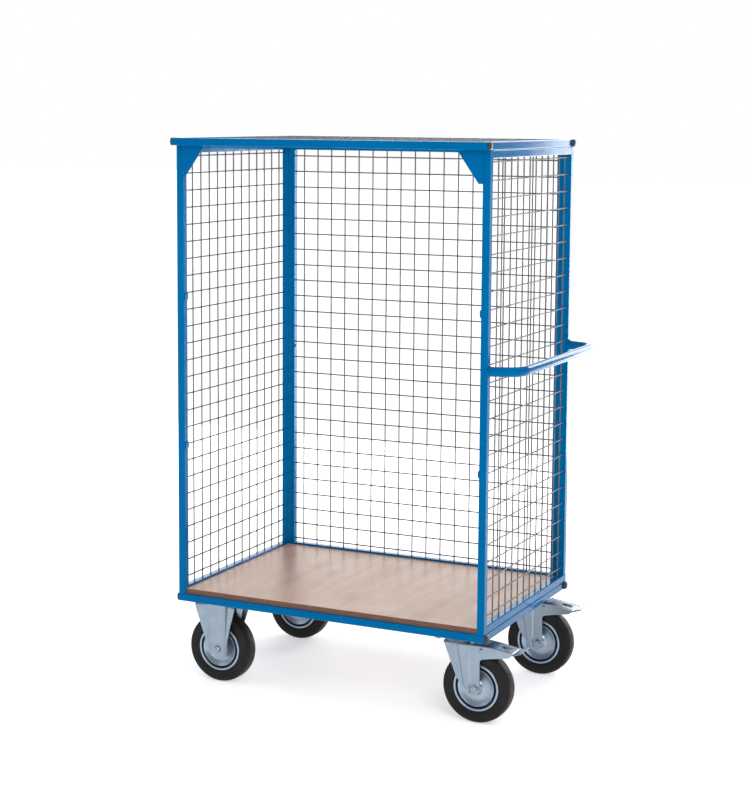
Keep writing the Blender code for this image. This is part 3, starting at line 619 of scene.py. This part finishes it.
def bead(start, end, radius=BEAD_RADIUS):
    """A rippled weld bead along an inner corner."""
    length = (end - start).length
    steps = max(6, int(length / BEAD_STEP))
    path, radii = [], []
    for step in range(steps + 1):
        share = step / steps
        path.append(start.lerp(end, share))
        taper = min(1.0, 0.35 + min(share, 1 - share) * length / 0.002)
        ripple = 1.0 + 0.10 * math.sin(step * RIPPLE)
        radii.append(radius * taper * (ripple + draw.uniform(-0.04, 0.04)))
    return sweep(path, radii, 8)


def collar(centre, axis, radius, thickness):
    """A rippled weld bead round a tube."""
    across, up = frame_of(axis)
    path = ring(centre, across, up, radius, COLLAR_STEPS)
    radii = []
    for step in range(COLLAR_STEPS):
        ripple = 1.0 + 0.08 * math.sin(step * RIPPLE)
        radii.append(thickness * (ripple + draw.uniform(-0.03, 0.03)))
    return sweep(path, radii, 8, looped=True)


beads = []
for z in (OPEN_LOW, OPEN_HIGH):
    for x in (IN_LEFT, IN_RIGHT):
        beads.append(bead(Vector((x, SIDE_REAR + WELD_INSET, z)), Vector((x, REAR - WELD_INSET, z))))
    for x in (LEFT, RIGHT - TUBE):
        for y in (SIDE_FRONT, SIDE_REAR):
            beads.append(bead(Vector((x + WELD_INSET, y, z)), Vector((x + TUBE - WELD_INSET, y, z))))
for x in (LEFT + TUBE, RIGHT - TUBE):
    for y in (roof_near, roof_far):
        beads.append(bead(Vector((x, y, ROOF_BOTTOM + WELD_INSET)), Vector((x, y, CAGE_TOP - WELD_INSET))))
    for y in (FRONT + TUBE, REAR - TUBE):
        beads.append(bead(Vector((x, y, BASE_BOTTOM + WELD_INSET)), Vector((x, y, BASE_TOP - WELD_INSET))))
for beam in ("caster_beam_left", "caster_beam_right"):
    for x in (low(beam).x, high(beam).x):
        for y in (low(beam).y, high(beam).y):
            foot = Vector((x, y, BASE_BOTTOM + WELD_INSET))
            beads.append(bead(foot, Vector((x, y, BASE_TOP - 2 * WELD_INSET))))
for gusset, edge in (("gusset_left", low("gusset_left").x), ("gusset_right", high("gusset_right").x)):
    back = high(gusset).y
    for z in GUSSET_BEADS:
        top = Vector((edge, back, ROOF_BOTTOM - z))
        beads.append(bead(top, top - Z * GUSSET_BEAD_LENGTH, GUSSET_BEAD_RADIUS))
for y in (near_y, far_y):
    spot = Vector((RIGHT + COLLAR_OUT, y, grip_z))
    beads.append(collar(spot, X, HANDLE_RADIUS + COLLAR_LIFT, COLLAR_BEAD))
piece("weld_beads", beads, BLUE, body="cage", angle=ROUND_ANGLE)


# ---- gussets folded from sheet

GUSSET_SHEET = 0.002
GUSSET_FOLD = 0.0045
GUSSET_TIP = 0.010
GUSSET_BAND = 0.004           # full-width band below the roof rail
GUSSET_SLOPE = 0.016


def gusset(name, node, side):
    """side is 1 for the left corner and -1 for the right one."""
    least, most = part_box(node)
    edge = least.x if side > 0 else most.x
    along = most.x - least.x
    top, bottom, front, back = most.z, least.z, least.y, most.y
    radius, tip = GUSSET_FOLD, GUSSET_TIP
    rows = []
    for z in (top, ROOF_BOTTOM - GUSSET_BAND, *np.linspace(ROOF_BOTTOM - GUSSET_SLOPE, bottom, 10)):
        share = (z - bottom) / (ROOF_BOTTOM - GUSSET_BAND - bottom)
        end = tip + (along - tip) * min(share, 1.0)
        line = [(0.0, y) for y in np.linspace(back, front + radius, 4)[:-1]]
        line += [(radius - radius * math.cos(a), front + radius - radius * math.sin(a))
                 for a in np.linspace(0, math.pi / 2, 7)]
        line += [(x, front) for x in np.linspace(radius, end, 8)[1:]]
        rows.append([(edge + side * x, y, z) for x, y in line])
    sheet = slab(np.array(rows), GUSSET_SHEET * side)
    piece(name, [sheet], BLUE, [node], bevel=SHEET_BEVEL)


gusset("gusset_sheet_left", "gusset_left", 1)
gusset("gusset_sheet_right", "gusset_right", -1)


# ---- end caps

# reach past the tube's end, half width, corner radius
CAP_SECTIONS = ((0.0003, 0.0106, 0.0022), (0.0006, 0.0110, 0.0026), (0.0022, 0.0110, 0.0028),
                (0.0034, 0.0108, 0.0032), (0.0052, 0.0102, 0.0040), (0.0068, 0.0092, 0.0048),
                (0.0079, 0.0076, 0.0050), (0.0086, 0.0054, 0.0044), (0.0089, 0.0026, 0.0024))
PLUG_HALF = 0.0092
PLUG_CORNER = 0.001
PLUG_ENDS = (-0.018, 0.001)


def end_cap(name, node):
    """A domed cap with the plug that holds it in the tube."""
    least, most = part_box(node)
    outward = -1 if most.x < RIGHT / 2 else 1
    face = LEFT if outward < 0 else RIGHT
    centre = (least + most) / 2
    rings = []
    for reach, half, corner in CAP_SECTIONS:
        rings.append([Vector((face + outward * reach, centre.y + y, centre.z + z))
                      for y, z in rounded_square(half, half, corner)])
    square = rounded_square(PLUG_HALF, PLUG_HALF, PLUG_CORNER)
    plug = [[Vector((face + outward * reach, centre.y + y, centre.z + z)) for y, z in square]
            for reach in PLUG_ENDS]
    piece(name, [loft(rings), loft(plug)], PLASTIC, [node])


for node_name in sorted(frame["nodes"]):
    if "_cap_" in node_name:
        end_cap(node_name.replace("_cap_", "_plug_"), node_name)


# ---- bolts that join the walls

CORNER_WASHER = (0.0075, 0.0012)
CORNER_HEAD = (0.010, 0.0048)

corner_bolts = []
for x, outward in ((IN_LEFT, X), (IN_RIGHT, -X)):
    seat = Vector((x, REAR - TUBE / 2, BOLT_HEIGHT))
    corner_bolts.append(disc(seat, outward, *CORNER_WASHER))
    corner_bolts.append(hexagon(seat + outward * CORNER_WASHER[1], outward, *CORNER_HEAD, 0.3))
piece("corner_bolts", corner_bolts, ZINC, body="cage")


# ---- caster sheet metal

def pressed(x0, y0, path, section):
    """One pressed sheet: a leg, the crown and the other leg.

    path gives (y, z) and the outward normal from the foot to the crown's middle. section(z) gives
    (x, outward offset) at the sheet's folds, whose columns are shared by every height.
    """
    half = [(y, z, normal, section(z)) for (y, z), normal in path]
    whole = half + [(-y, z, (-ny, nz), folds) for y, z, (ny, nz), folds in reversed(half)]
    rows = []
    for y, z, (ny, nz), folds in whole:
        line = []
        for (x, offset), (after_x, after_offset), steps in zip(folds, folds[1:], FOLD_STEPS):
            for step in range(steps):
                share = step / steps
                lift = (offset + (after_offset - offset) * share) * abs(ny)
                line.append((x0 + x + (after_x - x) * share, y0 + y + ny * lift, z + nz * lift))
        x, offset = folds[-1]
        lift = offset * abs(ny)
        line.append((x0 + x, y0 + y + ny * lift, z + nz * lift))
        rows.append(line)
    return slab(np.array(rows), -LEG_SHEET)


FOLD_STEPS = (6, 4, 2, 10, 2, 4, 18)


def crown_path(top, radius, heights):
    """(y, z) and outward normal up the leg, round the bend and in to the middle."""
    path = [((LEG_OUTSIDE, z), (1.0, 0.0)) for z in heights if z < top - radius]
    for angle in np.linspace(0, math.pi / 2, 7):
        y = LEG_OUTSIDE - radius + radius * math.cos(angle)
        path.append(((y, top - radius + radius * math.sin(angle)), (math.cos(angle), math.sin(angle))))
    for y in np.linspace(LEG_OUTSIDE - radius, 0.0005, 4)[1:]:
        path.append(((y, top), (0.0, 1.0)))
    return path


def at_height(z, line):
    """x of a rising line of (x, z) points."""
    return float(np.interp(z, [point[1] for point in line], [point[0] for point in line]))


PLATE_SOFT = 0.0006           # rounding of the plate's edges
PLATE_CORNER = 0.012
BEAM_WEB = 0.0036             # sheet of the beam that the plate is bolted to
HEAD_WASHER = (0.0095, 0.0014)
NUT_WASHER = (0.0090, 0.0014)
PLATE_HEX = 0.0150            # across the flats of heads and nuts
HEAD_HEIGHT = 0.0058
NUT_HEIGHT = 0.0066
THREAD = (0.0045, 0.0045)
AXLE_WASHER = (0.0120, 0.0016)
AXLE_HEX = (0.0170, 0.0062)
SPACER = (0.0100, 0.0024)
SPACER_SEAT = 0.0274
AXLE_RADIUS = 0.0058
AXLE_HALF = 0.034


def mounting_plate(x0, y0):
    """The caster's top plate with four bolts through it and the beam above."""
    rings = []
    soft = PLATE_SOFT
    levels = ((PLATE_UNDER, soft), (PLATE_UNDER + soft, 0.0), (PLATE_TOP - soft, 0.0), (PLATE_TOP, soft))
    for z, shrink in levels:
        half_x, half_y = PLATE_SIZE[0] / 2 - shrink, PLATE_SIZE[1] / 2 - shrink
        outline = rounded_square(half_x, half_y, PLATE_CORNER)
        rings.append([Vector((x0 + x, y0 + y, z)) for x, y in outline])
    solids = [loft(rings)]
    web_top = PLATE_TOP + BEAM_WEB
    for sx in (-1, 1):
        for sy in (-1, 1):
            spot = Vector((x0 + sx * BOLT_SPAN[0] / 2, y0 + sy * BOLT_SPAN[1] / 2, 0))
            turn = draw.uniform(0, 1)
            head = spot + Z * (PLATE_UNDER - HEAD_WASHER[1])
            nut = spot + Z * (web_top + NUT_WASHER[1])
            solids.append(disc(spot + Z * PLATE_UNDER, -Z, *HEAD_WASHER))
            solids.append(hexagon(head, -Z, PLATE_HEX, HEAD_HEIGHT, turn))
            solids.append(disc(spot + Z * web_top, Z, *NUT_WASHER))
            solids.append(hexagon(nut, Z, PLATE_HEX, NUT_HEIGHT, turn + 0.4))
            solids.append(disc(spot + Z * (web_top + 0.0070), Z, *THREAD, 16))
    return solids


def axle_bolt(name, node, x0, y0):
    """Hex bolt, nut, washers and the spacers beside the hub."""
    centre = Vector((x0, y0, WHEEL_RADIUS))
    solids = []
    for side in (-1, 1):
        axis = Y * side
        seat = centre + axis * (LEG_OUTSIDE - SEAM)
        end = 0.0016 if side < 0 else 0.0012
        solids.append(disc(seat, axis, *AXLE_WASHER))
        solids.append(hexagon(seat + axis * AXLE_WASHER[1], axis, *AXLE_HEX, draw.uniform(0, 1)))
        solids.append(disc(seat + axis * 0.0070, axis, AXLE_RADIUS, end, 20, 0.0004))
        solids.append(disc(centre + axis * SPACER_SEAT, axis, *SPACER))
    solids.append(sweep([centre - Y * AXLE_HALF, centre + Y * AXLE_HALF], AXLE_RADIUS, 16))
    piece(name, solids, ZINC, [node])


# ---- wheels

# (radius, half width) of the tyre, then of the rim
tread_half = [(0.0690, 0.0208), (0.0712, 0.0224), (0.0780, 0.0241), (0.0870, 0.0249), (0.0938, 0.0246),
              (0.0986, 0.0222), (0.1012, 0.0172), (0.1024, 0.0095)]
tread = [(r, -h) for r, h in reversed(smooth_line(tread_half, 4))]
tread = tread + [(r, h) for r, h in smooth_line(tread_half, 4)]

disc_half = [(0.0066, 0.0268), (0.0105, 0.0270), (0.0150, 0.0262), (0.0172, 0.0240), (0.0200, 0.0200),
             (0.0280, 0.0165), (0.0400, 0.0178), (0.0490, 0.0212), (0.0530, 0.0232), (0.0545, 0.0228),
             (0.0553, 0.0160), (0.0562, 0.0090), (0.0582, 0.0080), (0.0598, 0.0130), (0.0606, 0.0205),
             (0.0620, 0.0238), (0.0648, 0.0246), (0.0674, 0.0236), (0.0684, 0.0214)]
fine_half = smooth_line(disc_half, 4)
disc_profile = fine_half + [(r, -h) for r, h in reversed(fine_half)]
GROOVE = (0.0547, 0.0607)     # radii between which the rim's groove gets its dark blue painted shade and painted reflection
TREAD_STEPS = 96
DISC_STEPS = 72


def wheel(tag):
    """Tyre, rim and axle bolt of one caster; returns the hub's centre."""
    node = f"wheel_tyre_{tag}"
    least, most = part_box(node)
    centre = (least + most) / 2
    piece(f"wheel_tread_{tag}", [lathe(tread, centre, TREAD_STEPS)], RUBBER, [node],
          angle=ROUND_ANGLE)
    made = piece(f"wheel_disc_{tag}", [lathe(disc_profile, centre, DISC_STEPS)], DISC,
                 [f"wheel_rim_{tag}"], angle=ROUND_ANGLE)
    # faces inside the groove radii take the dark blue painted shade and reflection
    made.data.materials.append(GROOVE_SHADE)
    for face in made.data.polygons:
        radius = math.hypot(face.center.x - centre.x, face.center.z - centre.z)
        if GROOVE[0] < radius < GROOVE[1]:
            face.material_index = 1
    axle_bolt(f"axle_bolt_{tag}", f"wheel_axle_{tag}", centre.x, centre.y)
    return centre


# ---- fixed casters

FOOT = 0.030                 # radius of the legs' rounded foot about the axle
FOOT_START = math.radians(-86)
FOOT_STEPS = 12
CROWN_BEND = 0.008
foot_angles = np.linspace(FOOT_START, 0, FOOT_STEPS)
# lines of (x or outward offset, z) up the fork: its edge, its fold and the flare of its wings
fixed_edge = [(FOOT * math.cos(a), WHEEL_RADIUS + FOOT * math.sin(a)) for a in foot_angles]
fixed_edge += [(0.0340, 0.1180), (0.0400, 0.1420), (0.0530, 0.1880), (0.0660, 0.2320), (0.0665, 0.2435)]
fixed_fold = [(0.0010, 0.0725), (0.0150, 0.0790), (0.0190, 0.0880), (0.0230, 0.1130), (0.0250, 0.1500),
              (0.0275, 0.2435)]
fixed_flare = [(0.0, 0.0740), (0.0020, 0.0880), (0.0050, 0.1130), (0.0085, 0.1400), (0.0140, 0.1900),
               (0.0180, 0.2360)]
fixed_heights = [z for _, z in fixed_edge[:FOOT_STEPS]] + list(np.linspace(0.1060, 0.2350, 24))


def fixed_section(z):
    """Folds of the fixed fork at a height, the same on both sides of the axle."""
    half, flare = at_height(z, fixed_edge), at_height(z, fixed_flare)
    fold = min(at_height(z, fixed_fold), half * 0.8)
    soft = min(0.0015, half * 0.1)
    side = [(half, flare), (fold + (half - fold) * 0.45, flare * 0.78), (fold + soft, flare * 0.08),
            (fold - soft, 0.0)]
    return [(-x, offset) for x, offset in side] + side[::-1]


for row in ("front", "rear"):
    hub = wheel(f"fixed_{row}")
    crown = crown_path(PLATE_UNDER + 0.0005, CROWN_BEND, fixed_heights)
    yoke = pressed(hub.x, hub.y, crown, fixed_section)
    piece(f"fixed_yoke_{row}", [yoke, *mounting_plate(hub.x, hub.y)], ZINC,
          [f"fixed_fork_{row}"], bevel=YOKE_BEVEL, angle=YOKE_ANGLE)


# ---- braked swivel casters

# lines of (x, z) from the swivel axis: the fork's two edges and its first fold
swivel_left = [(0.0500, 0.0806), (0.0455, 0.0830), (0.0400, 0.0872), (0.0300, 0.0962), (0.0190, 0.1070),
               (0.0010, 0.1295), (-0.0340, 0.2150), (-0.0390, 0.2270), (-0.0395, 0.2300)]
swivel_right = [(0.0545, 0.0806), (0.0595, 0.0826), (0.0645, 0.0868), (0.0685, 0.0925), (0.0705, 0.1000),
                (0.0710, 0.1800), (0.0725, 0.1850), (0.0770, 0.1888), (0.0850, 0.1908), (0.1000, 0.1936),
                (0.1500, 0.2020), (0.1580, 0.2045), (0.1625, 0.2080), (0.1665, 0.2125), (0.1675, 0.2145),
                (0.1660, 0.2160), (0.0850, 0.2283), (0.0825, 0.2300)]
swivel_fold = [(0.0520, 0.0806), (0.0320, 0.1000), (0.0230, 0.1130), (0.0040, 0.2240), (0.0020, 0.2300)]
SWIVEL_FOLD_REAR = 0.0410
SWIVEL_BEND = 0.006
RIB_LIFT = 0.0034            # how far the leg's middle stands proud of its wings
swivel_heights = sorted({z for _, z in swivel_left + swivel_right} | set(np.linspace(0.1100, 0.2280, 44)))


def swivel_section(z):
    """Folds of the swivel fork at a height."""
    left, right = at_height(z, swivel_left), at_height(z, swivel_right)
    lift = RIB_LIFT * float(rise((z - 0.0860) / 0.0080))
    near = min(max(at_height(z, swivel_fold), left + 0.002), (left + right) / 2 - 0.001)
    far = min(max(SWIVEL_FOLD_REAR, near + 0.001), right - 0.002)
    soft = min(0.0020, (far - near) * 0.3, (near - left) * 0.4)
    return [(left, 0.0), (left + (near - left) * 0.5, 0.0), (near - soft, 0.0), (near + soft, lift),
            (far - soft, lift), (far + soft, 0.0), (far + (right - far) * 0.3, 0.0), (right, 0.0)]


KINGPIN_NUT = (0.0210, 0.0090)
RACE_STEPS = 48


def race(x0, y0):
    """Upper ball race pressed into the plate, with the kingpin's nut below the crown."""
    spot = Vector((x0, y0, 0))
    upper = [(0.004, 0.2435), (0.0345, 0.2435), (0.0352, 0.2420), (0.0340, 0.2400), (0.0300, 0.2385),
             (0.0270, CROWN_TOP + 0.0010), (0.0040, CROWN_TOP + 0.0010)]
    below = CROWN_TOP - LEG_SHEET - 0.0008
    nut = hexagon(spot + Z * below, -Z, *KINGPIN_NUT, 0.2)
    thread = disc(spot + Z * (below - KINGPIN_NUT[1]), -Z, 0.0070, 0.0030, 20)
    return [lathe(smooth_line(upper, 3, True), spot, RACE_STEPS, "Z"), nut, thread]


def lower_race(x0, y0):
    """Lower ball race on the fork's crown."""
    lower = [(0.0290, CROWN_TOP - 0.0006), (0.0395, CROWN_TOP - 0.0006), (0.0392, 0.2330), (0.0380, 0.2372),
             (0.0362, 0.2380), (0.0350, 0.2360), (0.0320, 0.2322), (0.0290, 0.2312)]
    return lathe(smooth_line(lower, 3, True), Vector((x0, y0, 0)), RACE_STEPS, "Z")


PEDAL_HALF = 0.0297
PEDAL_SHEET = 0.0022
PEDAL_CORNER = 0.0050
SLOT = (0.1240, 0.1540)      # slot in the pedal's cover, from the swivel axis
COVER_LINES = (-0.0160, -0.0125, 0.0, 0.0125, 0.0160)    # the slot lies between the inner ones
SHOE_X = 0.1110
SHOE_HALF = (0.0105, 0.0195)
PIN_RADIUS = 0.0038
PIN_HALF = 0.0345
PIN_HEAD = (0.0070, 0.0014)


def pedal(name, node, x0, y0):
    """Inverted trough of sheet metal with a slot, a turned-up foot lip and the brake shoe inside."""
    # (x, top, bottom) of the trough's sections
    stations = [(0.0700, 0.2170, 0.2120), (0.0725, 0.2225, 0.2070), (0.0780, 0.2245, 0.2045),
                (0.0840, 0.2262, 0.2038), (0.0900, 0.2265, 0.2036), (0.1000, 0.2250, 0.2040),
                (0.1150, 0.2225, 0.2050), (0.1260, 0.2207, 0.2058), (0.1350, 0.2192, 0.2064),
                (0.1540, 0.2160, 0.2076), (0.1600, 0.2149, 0.2092), (0.1640, 0.2137, 0.2098),
                (0.1670, 0.2122, 0.2100), (0.1700, 0.2126, 0.2108), (0.1780, 0.2152, 0.2136),
                (0.1860, 0.2176, 0.2161), (0.1925, 0.2196, 0.2184)]
    fine = smooth_line(stations, 3)
    rows = []
    for x, top, bottom in fine:
        drop = max(top - bottom, 0.0006)
        corner = min(PEDAL_CORNER, drop * 0.6)
        line = [(-PEDAL_HALF, z) for z in np.linspace(bottom, top - corner, 6)]
        line += [(-PEDAL_HALF + corner - corner * math.cos(a), top - corner + corner * math.sin(a))
                 for a in np.linspace(0, math.pi / 2, 6)[1:]]
        cheek = list(line)
        line += [(y, top) for y in COVER_LINES]
        line += [(-y, z) for y, z in reversed(cheek)]
        rows.append([(x0 + x, y0 + y, z) for y, z in line])
    xs = [point[0] for point in fine]

    first = len(cheek) + 1
    slot_cells = (first, first + 1)

    def keep(r, c):
        middle = (xs[r] + xs[r + 1]) / 2
        return not (SLOT[0] < middle < SLOT[1] and c in slot_cells)

    outline = rounded_square(*SHOE_HALF, 0.004)
    shoe = [[Vector((x0 + SHOE_X + x, y0 + y, z)) for x, y in outline] for z in (0.2200, 0.2030)]
    shoe.append([Vector((x0 + SHOE_X + x * 0.9, y0 + y * 0.93, 0.2005)) for x, y in outline])
    trough = slab(np.array(rows), PEDAL_SHEET, keep)
    piece(name, [trough, loft(shoe)], ZINC, [node], bevel=SHEET_BEVEL)


for row in ("front", "rear"):
    hub = wheel(f"swivel_{row}")
    x0, y0 = hub.x - TRAIL, hub.y
    piece(f"swivel_head_{row}", [*mounting_plate(x0, y0), *race(x0, y0)], ZINC,
          [f"swivel_plate_{row}"])
    path = crown_path(CROWN_TOP, SWIVEL_BEND, swivel_heights)
    solids = [pressed(x0, y0, path, swivel_section), lower_race(x0, y0)]
    pin_spot = Vector((x0 + PIN[0], y0, PIN[1]))
    for side in (-1, 1):
        seat = pin_spot + Y * side * (LEG_OUTSIDE - SEAM)
        solids.append(disc(seat, Y * side, *PIN_HEAD, 24, 0.0014))
    solids.append(sweep([pin_spot - Y * PIN_HALF, pin_spot + Y * PIN_HALF], PIN_RADIUS, 14))
    piece(f"swivel_yoke_{row}", solids, ZINC, [f"swivel_fork_{row}"],
          bevel=YOKE_BEVEL, angle=YOKE_ANGLE)
    pedal(f"brake_lever_{row}", f"brake_pedal_{row}", x0, y0)


# ---- studio

FLOOR_HALF = 40
GLOW_FROM = (0.8, 0.50)       # distance from the middle and strength of the floor's glow
GLOW_TO = (2.6, 1.0)
AMBIENT = 0.28
SENSOR_WIDTH = 36.0
FOCAL_LENGTH = 81.36
LENS_SHIFT = -0.10
CLIP_END = 200.0
CAMERA_SPOT = (2.2651, -4.8064, 1.7016)
YAW, PITCH, ROLL = 0.4476, 0.1148, 0.0067

ground = bpy.data.meshes.new("floor")
floor_corners = [(x * FLOOR_HALF, y * FLOOR_HALF, 0) for x, y in ((-1, -1), (1, -1), (1, 1), (-1, 1))]
ground.from_pydata(floor_corners, [], [(0, 1, 2, 3)])
floor = bpy.data.objects.new("floor", ground)
bpy.context.scene.collection.objects.link(floor)
pale = Finish("studio_floor", (0.90, 0.90, 0.90), 0.75, specular=0.2)
pale.colour(pale.mix(pale.noise(3.0, 2.0), (0.88, 0.88, 0.88), (0.92, 0.92, 0.92)))
distance = pale.add("ShaderNodeVectorMath", {0: pale.where}, operation="LENGTH").outputs["Value"]
pale.shader.inputs["Emission Color"].default_value = (1, 1, 1, 1)
glow = pale.ramp(distance, GLOW_FROM[0], GLOW_TO[0], GLOW_FROM[1], GLOW_TO[1])
pale.tree.links.new(glow, pale.shader.inputs["Emission Strength"])
ground.materials.append(pale.material)


def softbox(name, location, target, size, radiance, colour=(1, 1, 1)):
    """A soft rectangular light that the camera doesn't see."""
    data = bpy.data.lights.new(name, "AREA")
    data.shape = "RECTANGLE"
    data.size, data.size_y = size
    data.energy = radiance * math.pi * size[0] * size[1]
    data.color = colour
    lamp = bpy.data.objects.new(name, data)
    lamp.location = location
    aim = Vector(target) - Vector(location)
    lamp.rotation_euler = aim.to_track_quat("-Z", "Y").to_euler()
    lamp.visible_camera = False
    bpy.context.scene.collection.objects.link(lamp)


softbox("overhead", (0, 0, 4.2), (0, 0, 0), (5.0, 5.0), 1.15)
softbox("key", (3.4, -4.2, 3.6), (0, 0, 0.8), (2.6, 2.6), 6.4)
softbox("fill", (-4.0, -3.2, 2.6), (0, 0, 0.8), (2.4, 2.4), 1.2)
softbox("back_wall", (-1.4, 3.6, 1.35), (-1.4, 0, 1.35), (3.4, 2.5), 2.0)
softbox("back_right", (1.08, 3.6, 1.45), (1.08, 0, 1.45), (1.32, 2.9), 6.4, (1.0, 0.98, 0.95))

world = bpy.data.worlds.new("studio")
bpy.context.scene.world = world
world.use_nodes = True
tree = world.node_tree
tree.nodes.clear()
output = tree.nodes.new("ShaderNodeOutputWorld")
mixer = tree.nodes.new("ShaderNodeMixShader")
soft = tree.nodes.new("ShaderNodeBackground")
soft.inputs["Color"].default_value = (1.0, 1.0, 1.0, 1)
soft.inputs["Strength"].default_value = AMBIENT
white = tree.nodes.new("ShaderNodeBackground")
white.inputs["Color"].default_value = (1, 1, 1, 1)
white.inputs["Strength"].default_value = 1.0
seen = tree.nodes.new("ShaderNodeLightPath")
tree.links.new(seen.outputs["Is Camera Ray"], mixer.inputs[0])
tree.links.new(soft.outputs[0], mixer.inputs[1])
tree.links.new(white.outputs[0], mixer.inputs[2])
tree.links.new(mixer.outputs[0], output.inputs["Surface"])

bpy.context.scene.view_settings.view_transform = "Standard"

lens = bpy.data.cameras.new("camera")
lens.sensor_width = SENSOR_WIDTH
lens.lens = FOCAL_LENGTH
lens.shift_y = LENS_SHIFT
lens.clip_end = CLIP_END
camera = bpy.data.objects.new("camera", lens)
camera.matrix_world = (Matrix.Translation(CAMERA_SPOT) @ Matrix.Rotation(YAW, 4, "Z")
                       @ Matrix.Rotation(math.pi / 2 - PITCH, 4, "X") @ Matrix.Rotation(ROLL, 4, "Z"))
bpy.context.scene.collection.objects.link(camera)
bpy.context.scene.camera = camera
